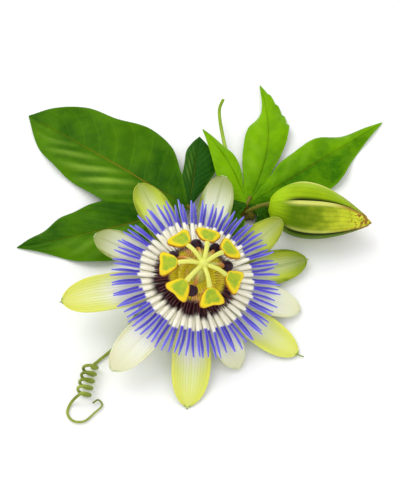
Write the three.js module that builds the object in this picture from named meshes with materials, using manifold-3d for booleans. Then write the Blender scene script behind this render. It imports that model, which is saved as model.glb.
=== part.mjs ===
// Passion flower, a cut sprig lying on a table: one open bloom, a closed bud, two palmate leaves and two
// tendrils on a short piece of vine. Millimetres, +Z up. The origin is under the bloom, on the flat spot
// where its stalk lies on the table. The bloom's near side faces -Y.
import * as THREE from 'three';
import { mergeVertices } from 'three/addons/utils/BufferGeometryUtils.js';
import Module from 'manifold-3d';

const wasm = await Module();
wasm.setup();

const { degToRad, lerp } = THREE.MathUtils;

// The bloom: the middle of its crown, and how far its axis leans to the right and to the front
const BLOOM_CENTRE = [2.5, -7, 16];
const LEAN_RIGHT = degToRad(11.6);
const LEAN_FORWARD = degToRad(5.8);

// Every piece ends this far short of what carries it
const SEAT_GAP = 0.3;
const TABLE = 0;
const WELD = 1e-4;

// The cup under the bloom, as radius and height from the crown's middle
const CUP_RADIUS = 9.5;
const CUP_TOP = -2.2;
const CUP_SIDES = 26;
const CUP_BOTTOM = -11.6;
const CUP_SIDE = [[1.7, CUP_BOTTOM], [4.5, -10.8], [7.4, -9.8], [9.1, -8.7], [CUP_RADIUS, -8]];

// Sepals and petals: direction round the bloom in degrees, reach from its axis, heights of the root, of the
// tip and of the blade two thirds of the way out, width, how far the margins rise, and the length of the
// sepal's horn past its tip. Sepals grow in a ring below the petals
const TEPAL_START = 8.4;
const TEPAL_THICKNESS = 0.8;
const PETALS = [
  { angle: 76.3, reach: 49, root: -3.9, tip: -6.6, shoulder: -4.3, width: 13, cupping: 1 },
  { angle: 157.9, reach: 41.8, root: -3.9, tip: -6.5, shoulder: -4.3, width: 12.5, cupping: 1 },
  { angle: 231.5, reach: 47, root: -3.9, tip: -8.4, shoulder: -4.6, width: 13, cupping: 1 },
  { angle: 299.9, reach: 37, root: -3.9, tip: -7.9, shoulder: -4.4, width: 12, cupping: 0.8 },
  { angle: 350.3, reach: 42.6, root: -3.9, tip: -5.5, shoulder: -4.3, width: 12, cupping: 0.8 },
];
const SEPALS = [
  { angle: 119.4, reach: 45.9, root: -5.7, tip: -6.7, shoulder: -5.2, width: 13.5, cupping: 1.4 },
  { angle: 193.3, reach: 50.5, root: -5.7, tip: -8.7, shoulder: -5.4, width: 14.5, cupping: 1.7 },
  { angle: 269.7, reach: 47.5, root: -5.7, tip: -11.2, shoulder: -7.2, width: 14.5, cupping: 1.2 },
  { angle: 327.6, reach: 47.6, root: -5.7, tip: -4.5, shoulder: -6.9, width: 13, cupping: 0.9, awn: 2.4 },
  { angle: 17.4, reach: 46.8, root: -7.4, tip: -4.8, shoulder: -8.4, width: 14, cupping: 0.5 },
  { angle: 38.5, reach: 41.2, root: -5.3, tip: 4.3, shoulder: -6.6, width: 12.5, cupping: 0.9 },
];
const TEPAL_ROWS = 8;
const TEPAL_ROOT_SHARE = 0.52;
const TEPAL_WIDEST = 0.6;
const KEEL = 0.6;
const AWN_HALF_WIDTH = 0.5;
const AWN_RISE = 1.6;

// Where the points lie across a blade, from its right margin to its left one
const ACROSS = [-1, -0.5, 0, 0.5, 1];

// Three bracts hug the underside of the cup
const BRACT_ANGLES = [60, 180, 300];
const BRACT_RIB = [[2.3, -12.1], [6, -11.8], [10.2, -10.7], [13.6, -9.6]];
const BRACT_WIDTH = 9;
const BRACT_THICKNESS = 0.6;
const BRACT_ROWS = 5;

// The crown of filaments: two ranks on one ring, and a short dark inner rank on the nectar disc
const CROWN_RADIUS = 32;
const RING = { inner: 7.5, outer: 10.4, bottom: -1.9, top: 0, sides: 48 };
const FILAMENTS_PER_RANK = 36;
const FILAMENT_RADIUS = 0.65;
const FILAMENT_STEPS = 3;
const FILAMENT_TAPER = 0.35;
const UNEVENNESS = 0.05;
const CROWN_SEED = 7;
const UPPER_RANK = [[9, -0.55], [16, 0.3], [24, 0.6], [CROWN_RADIUS, 0.2]];
const LOWER_RANK = [[9, -1.35], [16, -0.9], [24, -0.9], [CROWN_RADIUS - 0.6, -1.4]];
const DISC = [[0, -1.9], [7.2, -1.9], [7.2, 0.9], [5.4, 1.7], [4.2, 1.2], [0, 1.2]];
const DISC_SIDES = 24;
const SPIKES = 36;
const SPIKE_STEPS = 2;
const SPIKE_RADIUS = 0.5;
const SPIKE_SEED = 19;
const SPIKE_PATH = [[6.2, 0.3], [9, 1.4], [12, 2], [16.2, 1.7]];

// The column that lifts the ovary, stamens and styles above the crown
const COLUMN_SIDES = 12;
const COLUMN = [[0, 1.5], [2.9, 1.5], [2, 3], [1.8, 8], [1.9, 11], [1.85, 13], [1.3, 14.1], [0, 14.7]];
const COLUMN_RADIUS = 1.9;
const STAMEN_ANGLES = [81, 129.5, 181, 230, 287, 340, 38];
const ARM_PATH = [[COLUMN_RADIUS + SEAT_GAP, 13.2], [5.6, 13.6], [8, 12.7], [11, 10.9]];
const ARM_RADIUS = 0.75;
const ANTHER_SPINE = [[9.6, 11.9], [11.6, 11.1], [13.8, 10.1], [15.8, 9.3]];
const ANTHER_HALF_WIDTHS = [2.6, 3.9, 4.8, 5.1];
const ANTHER_THICKNESS = 1.6;
const STYLES = [
  { angle: 99, reach: 10.2 },
  { angle: 58.4, reach: 10.8 },
  { angle: 14.4, reach: 10.6 },
  { angle: 252, reach: 9 },
  { angle: 157, reach: 11 },
];
const STYLE_ROOT = 11;
const STIGMA_HEIGHT = 6.6;
const STIGMA_RADIUS = 1.9;
const STYLE_RADIUS = 0.6;

// The bud lies on its side, closed by five overlapping sepals. A seam is where two of them meet: its place
// round the bud in degrees, how far it turns on its way to the tip, and whether the next sepal lies on top
const BUD_BASE = [31.4, 28.2, 11];
const BUD_TIP = [70.4, 19.8, 10.7];
const BUD_RADIUS = 10.9;
const BUD_SKEW = 0.68;
const BUD_FULLNESS = 0.8;
const BUD_BLUNTNESS = 0.012;
const BUD_SEAMS = [
  { turn: 35, twist: -20, next: 1 },
  { turn: 108, twist: -45, next: 1 },
  { turn: 169, twist: 0, next: -1 },
  { turn: 240, twist: -10, next: -1 },
  { turn: 315, twist: -20, next: -1 },
];
const BUD_STEP = 0.065;
const BUD_STEP_REACH = 15;
const BUD_SEAM_HALF_WIDTH = 2;
const BUD_COLUMNS_PER_SEPAL = 6;
const BUD_ALONG = 14;
const BUD_FOLDS_FROM = 0.05;
const BUD_FOLDS_FULL = 0.3;
const BUD_STALK = [[22, 28.8, 2.4], [22.3, 27.6, 6.2], [25, 27.6, 9], [29, 28.2, 10.8], [33, 28, 11]];
const BUD_STALK_RADIUS = 0.9;

// The vine and what grows from its two joints
const VINE = [[-10, 18, 1.7], [-2, 22, 1.7], [4.5, 25, 2], [13, 28, 1.8], [22, 28.8, 2.2], [25.6, 28.4, 1.9]];
const VINE_RADIUS = 1.7;
const FIRST_JOINT = [4.5, 25, 2.4];
const SECOND_JOINT = [22, 28.8, 2.4];
const JOINT_RADIUS = 2.4;

// The bloom's stalk bends from the cup down to the table and along it to the first joint
const STALK_TURN = [[0, -4.9, 2.2], [0, -1.5, 1.25], [0, 5, 1.2], [1.2, 14, 1.3], [4.5, 24, 2]];
const STALK_RADIUS = 1.6;
const NECK_HEIGHTS = [CUP_BOTTOM + 1.4, CUP_BOTTOM - 0.4];

const YOUNG_TENDRIL = [
  [21.4, 29.6, 2.2], [19.6, 40, 2.6], [16.4, 52, 3.2], [13.6, 64, 4.2], [12, 79, 5.6], [13.6, 83, 7],
];
const YOUNG_TENDRIL_RADIUS = 0.8;
const COILED_TENDRIL_START = [[0.8, 23.8, 1.8], [-3, 18, 1], [-11, 3, 0.9], [-20, -14, 1], [-28, -28.6, 1.2]];
const COIL = {
  start: [-36.6, -37.2, 3.3],
  end: [-39, -49.6, 3.3],
  radius: 2.5,
  turns: 4.5,
  pointsPerTurn: 8,
};
const COILED_TENDRIL_END = [
  [-43.6, -51.6, 0.9], [-44.6, -55.6, 0.8], [-42.4, -58.4, 0.8], [-38.4, -58.6, 0.8], [-34.8, -55.4, 0.8],
  [-32, -52.2, 0.9], [-33.6, -50.4, 1.2], [-35.4, -51.8, 1.6],
];
const TENDRIL_RADIUS = 0.65;
const TENDRIL_STEPS = 96;

// Leaves. The lobes run clockwise round the leaf's base. A lobe is given by its tip, the sideways bow of its
// midrib to the right, and its two margins past the notches, each point as share of the lobe's length and
// distance from the straight line to the tip. The notches lie between the lobes, with one more at each end
const LEAF_THICKNESS = 0.8;
const LEFT_LEAF = {
  base: [-0.5, 30.3, 5.2],
  notches: [[-9, 20, 4.6], [-34.9, 33.5, 5.6], [-3.4, 45, 6], [6.2, 40, 5.4]],
  lobes: [
    {
      tip: [-68.8, 14.6, 0.4],
      bow: -1.5,
      left: [[0.45, 15], [0.62, 13.9], [0.8, 7.2]],
      right: [[0.64, 10.6], [0.82, 5.2]],
    },
    {
      tip: [-68.9, 79.2, 0.4],
      bow: 0,
      left: [[0.5, 16.6], [0.66, 15], [0.84, 10]],
      right: [[0.28, 20], [0.44, 23.2], [0.6, 18.8], [0.78, 17.8], [0.92, 9]],
    },
    {
      tip: [3.6, 64.6, 5.6],
      bow: 0,
      left: [[0.6, 4.4], [0.82, 4]],
      right: [[0.6, 8.6], [0.82, 5.6]],
    },
  ],
};
const RIGHT_LEAF = {
  base: [22.9, 31.6, 5.6],
  notches: [
    [19.4, 26.6, 5.8], [14.6, 35, 5.8], [21.4, 37.6, 6.2], [30.8, 42.6, 5.4], [33.4, 32, 3.2], [28.4, 25, 2.8],
  ],
  lobes: [
    {
      tip: [7, 16.6, 4],
      bow: 0,
      left: [[0.6, 4.2]],
      right: [[0.6, 5]],
    },
    {
      tip: [4.8, 66.1, 9],
      bow: 2,
      left: [[0.5, 4.4], [0.74, 1.8]],
      right: [[0.46, 5.6], [0.68, 4.4]],
    },
    {
      tip: [29.6, 95.4, 0.6],
      bow: 5.8,
      left: [[0.42, 4.2], [0.6, 3], [0.76, -1.8]],
      right: [[0.42, 11.4], [0.6, 13.6], [0.76, 10.4]],
    },
    {
      tip: [80.9, 75.8, 0.4],
      bow: 0.5,
      left: [[0.36, 9], [0.58, 9.4], [0.76, 4]],
      right: [[0.34, 11.5], [0.52, 12.4], [0.7, 6.6]],
    },
    {
      tip: [34.6, 21.6, 0.6],
      bow: 0,
      left: [[0.6, 3]],
      right: [[0.6, 3.4]],
    },
  ],
};
const NOTCH_ROWS = 3;
const LOBE_ROWS = 11;
const LOBE_ARCH = 2.2;
const LOBE_FOLD = 1.4;
const MARGIN_WAVE = 1.1;
const HALF_WAVES = 5;
const LEFT_LEAF_STALK = [[4.2, 25.4, 2.6], [2.4, 28.6, 4.4], [-1.5, 31.2, 5.2]];
const RIGHT_LEAF_STALK = [[22, 29.4, 3], [22.6, 31.8, 5.2], [24, 35, 5.8]];
const LEAF_STALK_RADIUS = 0.95;

// A colour and a roughness for each kind of surface
const PETAL_LOOK = ['#e6ead2', 0.6];
const SEPAL_LOOK = ['#cdd98a', 0.55];
const CUP_LOOK = ['#7fa23c', 0.55];
const BRACT_LOOK = ['#8fb04a', 0.6];
const FILAMENT_LOOK = ['#6a5fd0', 0.5];
const INNER_CROWN_LOOK = ['#451426', 0.45];
const COLUMN_LOOK = ['#b7c944', 0.45];
const STAMEN_LOOK = ['#d8cf2a', 0.6];
const STYLE_LOOK = ['#c98a52', 0.45];
const BUD_LOOK = ['#93b51f', 0.5];
const OLD_LEAF_LOOK = ['#4d8a12', 0.4];
const YOUNG_LEAF_LOOK = ['#6ba418', 0.4];
const TENDRIL_LOOK = ['#9cae33', 0.5];
const VINE_LOOK = ['#6f8a2e', 0.6];

function vector([x, y, z]) {
  return new THREE.Vector3(x, y, z);
}

function smoothCurve(points) {
  return new THREE.CatmullRomCurve3(points.map(vector), false, 'centripetal');
}

// A curve in the upright plane through the bloom's axis, from pairs of radius and height
function profileCurve(pairs) {
  return smoothCurve(pairs.map(([radius, height]) => [radius, 0, height]));
}

// A small repeatable random number source, for the uneven lengths of things that grew
function seeded(seed) {
  const multiplier = 16807;
  const modulus = 2147483647;
  let state = seed;
  return () => {
    state = (state * multiplier) % modulus;
    return state / modulus;
  };
}

// Welds a geometry's points and turns it into a solid, with its faces outwards
function solidOf(geometry) {
  const bare = geometry.clone();
  bare.deleteAttribute('normal');
  bare.deleteAttribute('uv');
  const welded = mergeVertices(bare, WELD);
  const points = welded.attributes.position;
  const corners = welded.index.array;
  const faces = [];
  let volume = 0;
  for (let i = 0; i < corners.length; i += 3) {
    const [a, b, c] = corners.subarray(i, i + 3);
    if (a === b || b === c || c === a) continue;
    faces.push([a, b, c]);
    const [p, q, r] = [a, b, c].map((k) => new THREE.Vector3().fromBufferAttribute(points, k));
    volume += p.dot(q.cross(r));
  }
  const outwards = volume > 0 ? faces : faces.map(([a, b, c]) => [a, c, b]);
  return new wasm.Manifold(new wasm.Mesh({
    numProp: 3,
    vertProperties: new Float32Array(points.array),
    triVerts: new Uint32Array(outwards.flat()),
  }));
}

function geometryOf(solid) {
  const { vertProperties, triVerts } = solid.getMesh();
  const geometry = new THREE.BufferGeometry();
  geometry.setAttribute('position', new THREE.BufferAttribute(vertProperties, 3));
  geometry.setIndex(new THREE.BufferAttribute(triVerts, 1));
  return geometry;
}

function joined(solids) {
  return solids.reduce((whole, solid) => whole.add(solid));
}

// A solid of revolution round +Z, from pairs of radius and height that start and end on the axis
function turned(pairs, sides) {
  const profile = pairs.map(([radius, height]) => new THREE.Vector2(radius, height));
  return new THREE.LatheGeometry(profile, sides).rotateX(Math.PI / 2);
}

// A rod along a curve, closed at both ends, with its radius given by the share of the length
function rod(curve, steps, sides, radiusAt) {
  const { normals, binormals } = curve.computeFrenetFrames(steps, false);
  const points = [];
  for (let i = 0; i <= steps; i++) {
    const centre = curve.getPointAt(i / steps);
    for (let j = 0; j < sides; j++) {
      const turn = (2 * Math.PI * j) / sides;
      const spoke = normals[i].clone().multiplyScalar(Math.cos(turn));
      spoke.addScaledVector(binormals[i], Math.sin(turn));
      points.push(centre.clone().addScaledVector(spoke, radiusAt(i / steps)));
    }
  }
  const faces = [];
  for (let i = 0; i < steps; i++) {
    for (let j = 0; j < sides; j++) {
      const here = i * sides + j;
      const beside = i * sides + ((j + 1) % sides);
      faces.push([here, beside, here + sides], [beside, beside + sides, here + sides]);
    }
  }
  const last = steps * sides;
  for (let j = 1; j < sides - 1; j++) {
    faces.push([0, j + 1, j], [last, last + j, last + j + 1]);
  }
  return geometryFrom(points, faces);
}

function geometryFrom(points, faces) {
  const geometry = new THREE.BufferGeometry();
  geometry.setAttribute('position', new THREE.Float32BufferAttribute(points.flatMap((p) => p.toArray()), 3));
  geometry.setIndex(faces.flat());
  return geometry;
}

// Rows of points become one sheet of triangles. Equal points are shared, also between grids, and the
// diagonals mirror each other across the middle of each row
function sheetFrom(grids) {
  const points = [];
  const known = new Map();
  const faces = [];
  const indexOf = (point) => {
    const key = point.toArray().map((value) => Math.round(value / WELD)).join();
    if (!known.has(key)) {
      known.set(key, points.length);
      points.push(point);
    }
    return known.get(key);
  };
  const addFace = (a, b, c) => {
    if (a !== b && b !== c && c !== a) faces.push([a, b, c]);
  };
  for (const rows of grids) {
    const indices = rows.map((row) => row.map(indexOf));
    for (let i = 0; i < rows.length - 1; i++) {
      for (let j = 0; j < rows[i].length - 1; j++) {
        const [near, far] = [indices[i], indices[i + 1]];
        if (j < (rows[i].length - 1) / 2) {
          addFace(near[j], far[j], far[j + 1]);
          addFace(near[j], far[j + 1], near[j + 1]);
        } else {
          addFace(near[j], far[j], near[j + 1]);
          addFace(far[j], far[j + 1], near[j + 1]);
        }
      }
    }
  }
  return { points, faces };
}

// A closed blade on a sheet: the same triangles above and below, and walls round the rim. depthAt gives any
// extra depth of a point's underside, for a keel or a rib
function blade({ points, faces }, thickness, depthAt = () => 0) {
  const normals = points.map(() => new THREE.Vector3());
  const rim = new Map();
  for (const face of faces) {
    const [a, b, c] = face.map((k) => points[k]);
    const across = new THREE.Vector3().subVectors(b, a).cross(new THREE.Vector3().subVectors(c, a));
    face.forEach((k, corner) => {
      normals[k].add(across);
      const next = face[(corner + 1) % 3];
      if (rim.has(`${next},${k}`)) rim.delete(`${next},${k}`);
      else rim.set(`${k},${next}`, [k, next]);
    });
  }
  normals.forEach((normal) => normal.normalize());
  const count = points.length;
  const above = points.map((p, k) => p.clone().addScaledVector(normals[k], thickness / 2));
  const below = points.map((p, k) => p.clone().addScaledVector(normals[k], -thickness / 2 - depthAt(p)));
  const shell = [];
  for (const [a, b, c] of faces) {
    shell.push([a, b, c], [a + count, c + count, b + count]);
  }
  for (const [a, b] of rim.values()) {
    shell.push([a, a + count, b + count], [a, b + count, b]);
  }
  return geometryFrom([...above, ...below], shell);
}

// How wide a sepal or petal is at each share of its length: narrow root, long body, round tip
function tepalWidthShare(share) {
  const widening = Math.min(share, TEPAL_WIDEST) / TEPAL_WIDEST;
  const narrowing = Math.max(0, share - TEPAL_WIDEST) / (1 - TEPAL_WIDEST);
  return lerp(TEPAL_ROOT_SHARE, 1, Math.sin((widening * Math.PI) / 2)) * Math.sqrt(1 - narrowing ** 2.2);
}

function tepalSheet({ reach, root, tip, shoulder, width, cupping, awn = 0 }) {
  const rib = new THREE.CubicBezierCurve3(
    new THREE.Vector3(TEPAL_START, 0, root),
    new THREE.Vector3(lerp(TEPAL_START, reach, 0.35), 0, lerp(root, shoulder, 0.3)),
    new THREE.Vector3(lerp(TEPAL_START, reach, 0.7), 0, shoulder),
    new THREE.Vector3(reach, 0, tip),
  );
  const narrowest = awn > 0 ? AWN_HALF_WIDTH : 0;
  const rows = [];
  for (let i = 0; i <= TEPAL_ROWS; i++) {
    const share = 1 - (1 - i / TEPAL_ROWS) ** 1.5;
    const centre = rib.getPoint(share);
    const half = Math.max(narrowest, (width / 2) * tepalWidthShare(share));
    const lift = cupping * Math.sin(Math.PI * Math.min(1, 0.15 + share)) + cupping * 0.5 * share;
    rows.push(ACROSS.map((across) => new THREE.Vector3(
      centre.x - Math.min(0.6, half * 0.5) * across ** 2 * share,
      half * across,
      centre.z + Math.min(lift, half * 0.5) * across ** 2,
    )));
  }
  if (awn > 0) {
    rows.push(ACROSS.map((across) => new THREE.Vector3(
      reach + awn,
      AWN_HALF_WIDTH * across,
      tip + AWN_RISE,
    )));
  }
  return sheetFrom([rows]);
}

// The cup, larger all round by a gap, or exactly
function cupGeometry(gap) {
  const side = CUP_SIDE.map(([radius, height]) => [radius + gap, height - gap]);
  const rim = [CUP_RADIUS + gap, CUP_TOP + gap];
  return turned([[0, CUP_BOTTOM - gap], ...side, rim, [0, rim[1]]], CUP_SIDES);
}

// Cut so that it wraps the cup with a small gap
function seated(solid) {
  return solid.subtract(solidOf(cupGeometry(SEAT_GAP)));
}

function petal(form) {
  return seated(solidOf(blade(tepalSheet(form), TEPAL_THICKNESS)));
}

// A sepal has a keel along its back
function sepal(form) {
  const keel = (point) => (Math.abs(point.y) < 0.1 && point.x < form.reach - 1 ? KEEL : 0);
  return seated(solidOf(blade(tepalSheet(form), TEPAL_THICKNESS, keel)));
}

function bract() {
  const rib = profileCurve(BRACT_RIB);
  const rows = [];
  for (let i = 0; i <= BRACT_ROWS; i++) {
    const share = i / BRACT_ROWS;
    const centre = rib.getPointAt(share);
    const half = (BRACT_WIDTH / 2) * Math.sin(Math.PI * lerp(0.12, 1, share)) ** 0.8;
    rows.push(ACROSS.map((across) => {
      const turn = (half * across) / Math.max(centre.x, half);
      return new THREE.Vector3(centre.x * Math.cos(turn), centre.x * Math.sin(turn), centre.z);
    }));
  }
  return seated(solidOf(blade(sheetFrom([rows]), BRACT_THICKNESS)));
}

// One rank of filaments, their roots deep in what carries them
function rank(path, steps, count, radius, offset, random) {
  const curve = profileCurve(path);
  const solids = [];
  for (let i = 0; i < count; i++) {
    const size = 1 - UNEVENNESS * random();
    const turn = ((i + offset) / count) * 2 * Math.PI;
    const filament = rod(curve, steps, 3, (share) => radius * (1 - FILAMENT_TAPER * share));
    filament.applyMatrix4(new THREE.Matrix4().makeScale(size, 1, 1));
    solids.push(solidOf(filament.rotateZ(turn)));
  }
  return solids;
}

function outerCrown() {
  const { inner, outer, bottom, top, sides } = RING;
  const ring = turned([[inner, bottom], [outer, bottom], [outer, top], [inner, top], [inner, bottom]], sides);
  const random = seeded(CROWN_SEED);
  return joined([
    solidOf(ring),
    ...rank(UPPER_RANK, FILAMENT_STEPS, FILAMENTS_PER_RANK, FILAMENT_RADIUS, 0, random),
    ...rank(LOWER_RANK, FILAMENT_STEPS, FILAMENTS_PER_RANK, FILAMENT_RADIUS, 0.5, random),
  ]);
}

function innerCrown() {
  const disc = turned(DISC, DISC_SIDES);
  const spikes = rank(SPIKE_PATH, SPIKE_STEPS, SPIKES, SPIKE_RADIUS, 0, seeded(SPIKE_SEED));
  return joined([solidOf(disc), ...spikes]);
}

// An arm that leaves the top of the column and ends in a broad anther, which slopes down and outwards
function stamen() {
  const arm = rod(profileCurve(ARM_PATH), 3, 5, () => ARM_RADIUS);
  const rows = ANTHER_SPINE.map(([radius, height], i) => [-1, 0, 1].map((across) => new THREE.Vector3(
    radius - 0.5 * across ** 2,
    ANTHER_HALF_WIDTHS[i] * across,
    height - 0.4 * across ** 2,
  )));
  const anther = blade(sheetFrom([rows]), ANTHER_THICKNESS);
  return solidOf(arm).add(solidOf(anther));
}

// A style arches out below the arms and ends in a round stigma
function style(reach) {
  const path = profileCurve([
    [COLUMN_RADIUS + SEAT_GAP, STYLE_ROOT],
    [5, STYLE_ROOT + 0.2],
    [reach - 1.8, STYLE_ROOT - 1.6],
    [reach - 0.2, STIGMA_HEIGHT + 0.8],
  ]);
  const stem = rod(path, 4, 4, () => STYLE_RADIUS);
  const stigma = new THREE.IcosahedronGeometry(STIGMA_RADIUS, 1).translate(reach, 0, STIGMA_HEIGHT);
  return solidOf(stem).add(solidOf(stigma));
}

// The piece of vine with its two swollen joints, larger all round by a gap, or exactly
function vineSolid(gap) {
  const cane = rod(smoothCurve(VINE), 10, 7, () => VINE_RADIUS + gap);
  const swellings = [FIRST_JOINT, SECOND_JOINT].map((centre) => {
    const knot = new THREE.IcosahedronGeometry(JOINT_RADIUS + gap, 1);
    return solidOf(knot.translate(...centre));
  });
  return joined([solidOf(cane), ...swellings]);
}

// Cut so that its root meets the vine with a small gap
function grownFromVine(solid) {
  return solid.subtract(vineSolid(SEAT_GAP));
}

// Cut flat where it lies on the table
function onTable(solid) {
  const size = 400;
  const table = new THREE.BoxGeometry(size, size, size).translate(0, 0, TABLE - size / 2);
  return solid.subtract(solidOf(table));
}

// The bloom's cup with its stalk, in the sprig's frame, cut flat where it lies on the table
function cupAndStalk(toSprig) {
  const cup = cupGeometry(0).applyMatrix4(toSprig);
  const neck = NECK_HEIGHTS.map((height) => vector([0, 0, height]).applyMatrix4(toSprig).toArray());
  const stalk = rod(smoothCurve([...neck, ...STALK_TURN]), 18, 8, () => STALK_RADIUS);
  return onTable(grownFromVine(solidOf(cup).add(solidOf(stalk))));
}

// How thick the bud is at each share of its length: round near the base, drawn out to a point
function budRadiusShare(share) {
  return Math.sin(Math.PI * lerp(BUD_BLUNTNESS, 1, share) ** BUD_SKEW) ** BUD_FULLNESS;
}

// One ring of the bud's points as turns in degrees and steps: a sepal's margin stands out where it lies on
// top, and dips where it is tucked under
function budRing(share) {
  const ring = [];
  BUD_SEAMS.forEach((seam, i) => {
    const next = BUD_SEAMS[(i + 1) % BUD_SEAMS.length];
    const from = seam.turn + seam.twist * share ** 2;
    const to = next.turn + next.twist * share ** 2 + (next.turn < seam.turn ? 360 : 0);
    for (let j = 0; j < BUD_COLUMNS_PER_SEPAL; j++) {
      const turn = lerp(from + BUD_SEAM_HALF_WIDTH, to - BUD_SEAM_HALF_WIDTH, j / (BUD_COLUMNS_PER_SEPAL - 1));
      const fromStep = seam.next * Math.exp((from - turn) / BUD_STEP_REACH);
      const toStep = -next.next * Math.exp((turn - to) / BUD_STEP_REACH);
      ring.push({ turn: degToRad(turn), step: BUD_STEP * (fromStep + toStep) });
    }
  });
  return ring;
}

function bud() {
  const base = vector(BUD_BASE);
  const along = new THREE.Vector3().subVectors(vector(BUD_TIP), base);
  const side = new THREE.Vector3(0, 0, 1).cross(along).normalize();
  const up = along.clone().normalize().cross(side);
  const round = BUD_SEAMS.length * BUD_COLUMNS_PER_SEPAL;
  const points = [];
  const faces = [];
  for (let i = 0; i <= BUD_ALONG; i++) {
    const share = i / BUD_ALONG;
    const centre = base.clone().addScaledVector(along, share);
    const fold = THREE.MathUtils.smoothstep(share, BUD_FOLDS_FROM, BUD_FOLDS_FULL);
    budRing(share).forEach(({ turn, step }, j) => {
      const radius = BUD_RADIUS * budRadiusShare(share) * (1 + fold * step);
      const point = centre.clone().addScaledVector(side, radius * Math.cos(turn));
      points.push(point.addScaledVector(up, radius * Math.sin(turn)));
      if (i === BUD_ALONG) return;
      const here = i * round + j;
      const beside = i * round + ((j + 1) % round);
      faces.push([here, beside, here + round], [beside, beside + round, here + round]);
    });
  }
  for (let j = 1; j < round - 1; j++) {
    faces.push([0, j + 1, j]);
  }
  const stalk = rod(smoothCurve(BUD_STALK), 8, 6, () => BUD_STALK_RADIUS);
  return onTable(grownFromVine(solidOf(geometryFrom(points, faces)).add(solidOf(stalk))));
}

// The points of one margin: straight from the leaf's base to the notch, then along the lobe's edge to its tip
function marginPoints(base, notch, tip, edge, sign) {
  const along = new THREE.Vector3().subVectors(tip, base);
  const left = new THREE.Vector3(-along.y, along.x, 0).normalize();
  const bends = edge.map(([share, out]) => {
    const point = base.clone().addScaledVector(along, share).addScaledVector(left, sign * out);
    point.z = lerp(notch.z, tip.z, share);
    return point;
  });
  const curve = new THREE.CatmullRomCurve3([notch, ...bends, tip], false, 'centripetal');
  const points = [];
  for (let i = 0; i <= LOBE_ROWS; i++) {
    if (i <= NOTCH_ROWS) {
      points.push(base.clone().lerp(notch, i / NOTCH_ROWS));
      continue;
    }
    const share = (i - NOTCH_ROWS) / (LOBE_ROWS - NOTCH_ROWS);
    const point = curve.getPointAt(share);
    point.z += MARGIN_WAVE * Math.sin(share * HALF_WAVES * Math.PI) * Math.sin(share * Math.PI);
    points.push(point);
  }
  return points;
}

function lobeGrid(base, { tip, bow, left, right }, leftNotch, rightNotch) {
  const end = vector(tip);
  const along = new THREE.Vector3().subVectors(end, base);
  const aside = new THREE.Vector3(-along.y, along.x, 0).normalize();
  const leftMargin = marginPoints(base, leftNotch, end, left, 1);
  const rightMargin = marginPoints(base, rightNotch, end, right, -1);
  return leftMargin.map((leftPoint, i) => {
    const share = i / LOBE_ROWS;
    const hump = Math.sin(Math.PI * share);
    const rib = base.clone().addScaledVector(along, share).addScaledVector(aside, -bow * hump);
    rib.z += (LOBE_ARCH - LOBE_FOLD) * hump;
    const halfway = (margin) => {
      const point = rib.clone().lerp(margin, 0.5);
      point.z += 0.5 * LOBE_FOLD * hump;
      return point;
    };
    return [rightMargin[i], halfway(rightMargin[i]), rib, halfway(leftPoint), leftPoint];
  });
}

// A palmate leaf with its stalk
function leaf({ base, notches, lobes }, stalkPath) {
  const root = vector(base);
  const corners = notches.map(vector);
  const grids = lobes.map((lobe, i) => lobeGrid(root, lobe, corners[i], corners[i + 1]));
  const stalk = rod(smoothCurve(stalkPath), 5, 6, () => LEAF_STALK_RADIUS);
  return grownFromVine(solidOf(blade(sheetFrom(grids), LEAF_THICKNESS)).add(solidOf(stalk)));
}

function coiledTendril() {
  const { start, end, radius, turns, pointsPerTurn } = COIL;
  const from = vector(start);
  const along = new THREE.Vector3().subVectors(vector(end), from);
  const side = new THREE.Vector3(0, 0, 1).cross(along).normalize();
  const up = along.clone().normalize().cross(side);
  const coil = [];
  const count = turns * pointsPerTurn;
  for (let i = 0; i <= count; i++) {
    const turn = (2 * Math.PI * i) / pointsPerTurn - Math.PI / 2;
    const point = from.clone().addScaledVector(along, i / count);
    point.addScaledVector(side, radius * Math.cos(turn)).addScaledVector(up, radius * Math.sin(turn));
    coil.push(point.toArray());
  }
  const path = smoothCurve([...COILED_TENDRIL_START, ...coil, ...COILED_TENDRIL_END]);
  return grownFromVine(solidOf(rod(path, TENDRIL_STEPS, 5, () => TENDRIL_RADIUS)));
}

function youngTendril() {
  const path = smoothCurve(YOUNG_TENDRIL);
  return grownFromVine(solidOf(rod(path, 14, 5, (share) => YOUNG_TENDRIL_RADIUS * (1 - 0.2 * share))));
}

function piece(name, solid, [color, roughness], angle = 0) {
  const material = new THREE.MeshStandardMaterial({ color, roughness, metalness: 0 });
  const mesh = new THREE.Mesh(geometryOf(solid), material);
  mesh.name = name;
  mesh.rotation.z = degToRad(angle);
  return mesh;
}

const bloom = new THREE.Group();
bloom.position.set(...BLOOM_CENTRE);
bloom.rotation.set(LEAN_FORWARD, LEAN_RIGHT, 0, 'YXZ');
bloom.updateMatrix();
SEPALS.forEach((form, i) => bloom.add(piece(`sepal_${i + 1}`, sepal(form), SEPAL_LOOK, form.angle)));
PETALS.forEach((form, i) => bloom.add(piece(`petal_${i + 1}`, petal(form), PETAL_LOOK, form.angle)));
BRACT_ANGLES.forEach((angle, i) => bloom.add(piece(`bract_${i + 1}`, bract(), BRACT_LOOK, angle)));
bloom.add(piece('corona_outer', outerCrown(), FILAMENT_LOOK));
bloom.add(piece('corona_inner', innerCrown(), INNER_CROWN_LOOK));
bloom.add(piece('column', solidOf(turned(COLUMN, COLUMN_SIDES)), COLUMN_LOOK));
STAMEN_ANGLES.forEach((angle, i) => bloom.add(piece(`stamen_${i + 1}`, stamen(), STAMEN_LOOK, angle)));
STYLES.forEach(({ angle, reach }, i) => bloom.add(piece(`style_${i + 1}`, style(reach), STYLE_LOOK, angle)));

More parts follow.
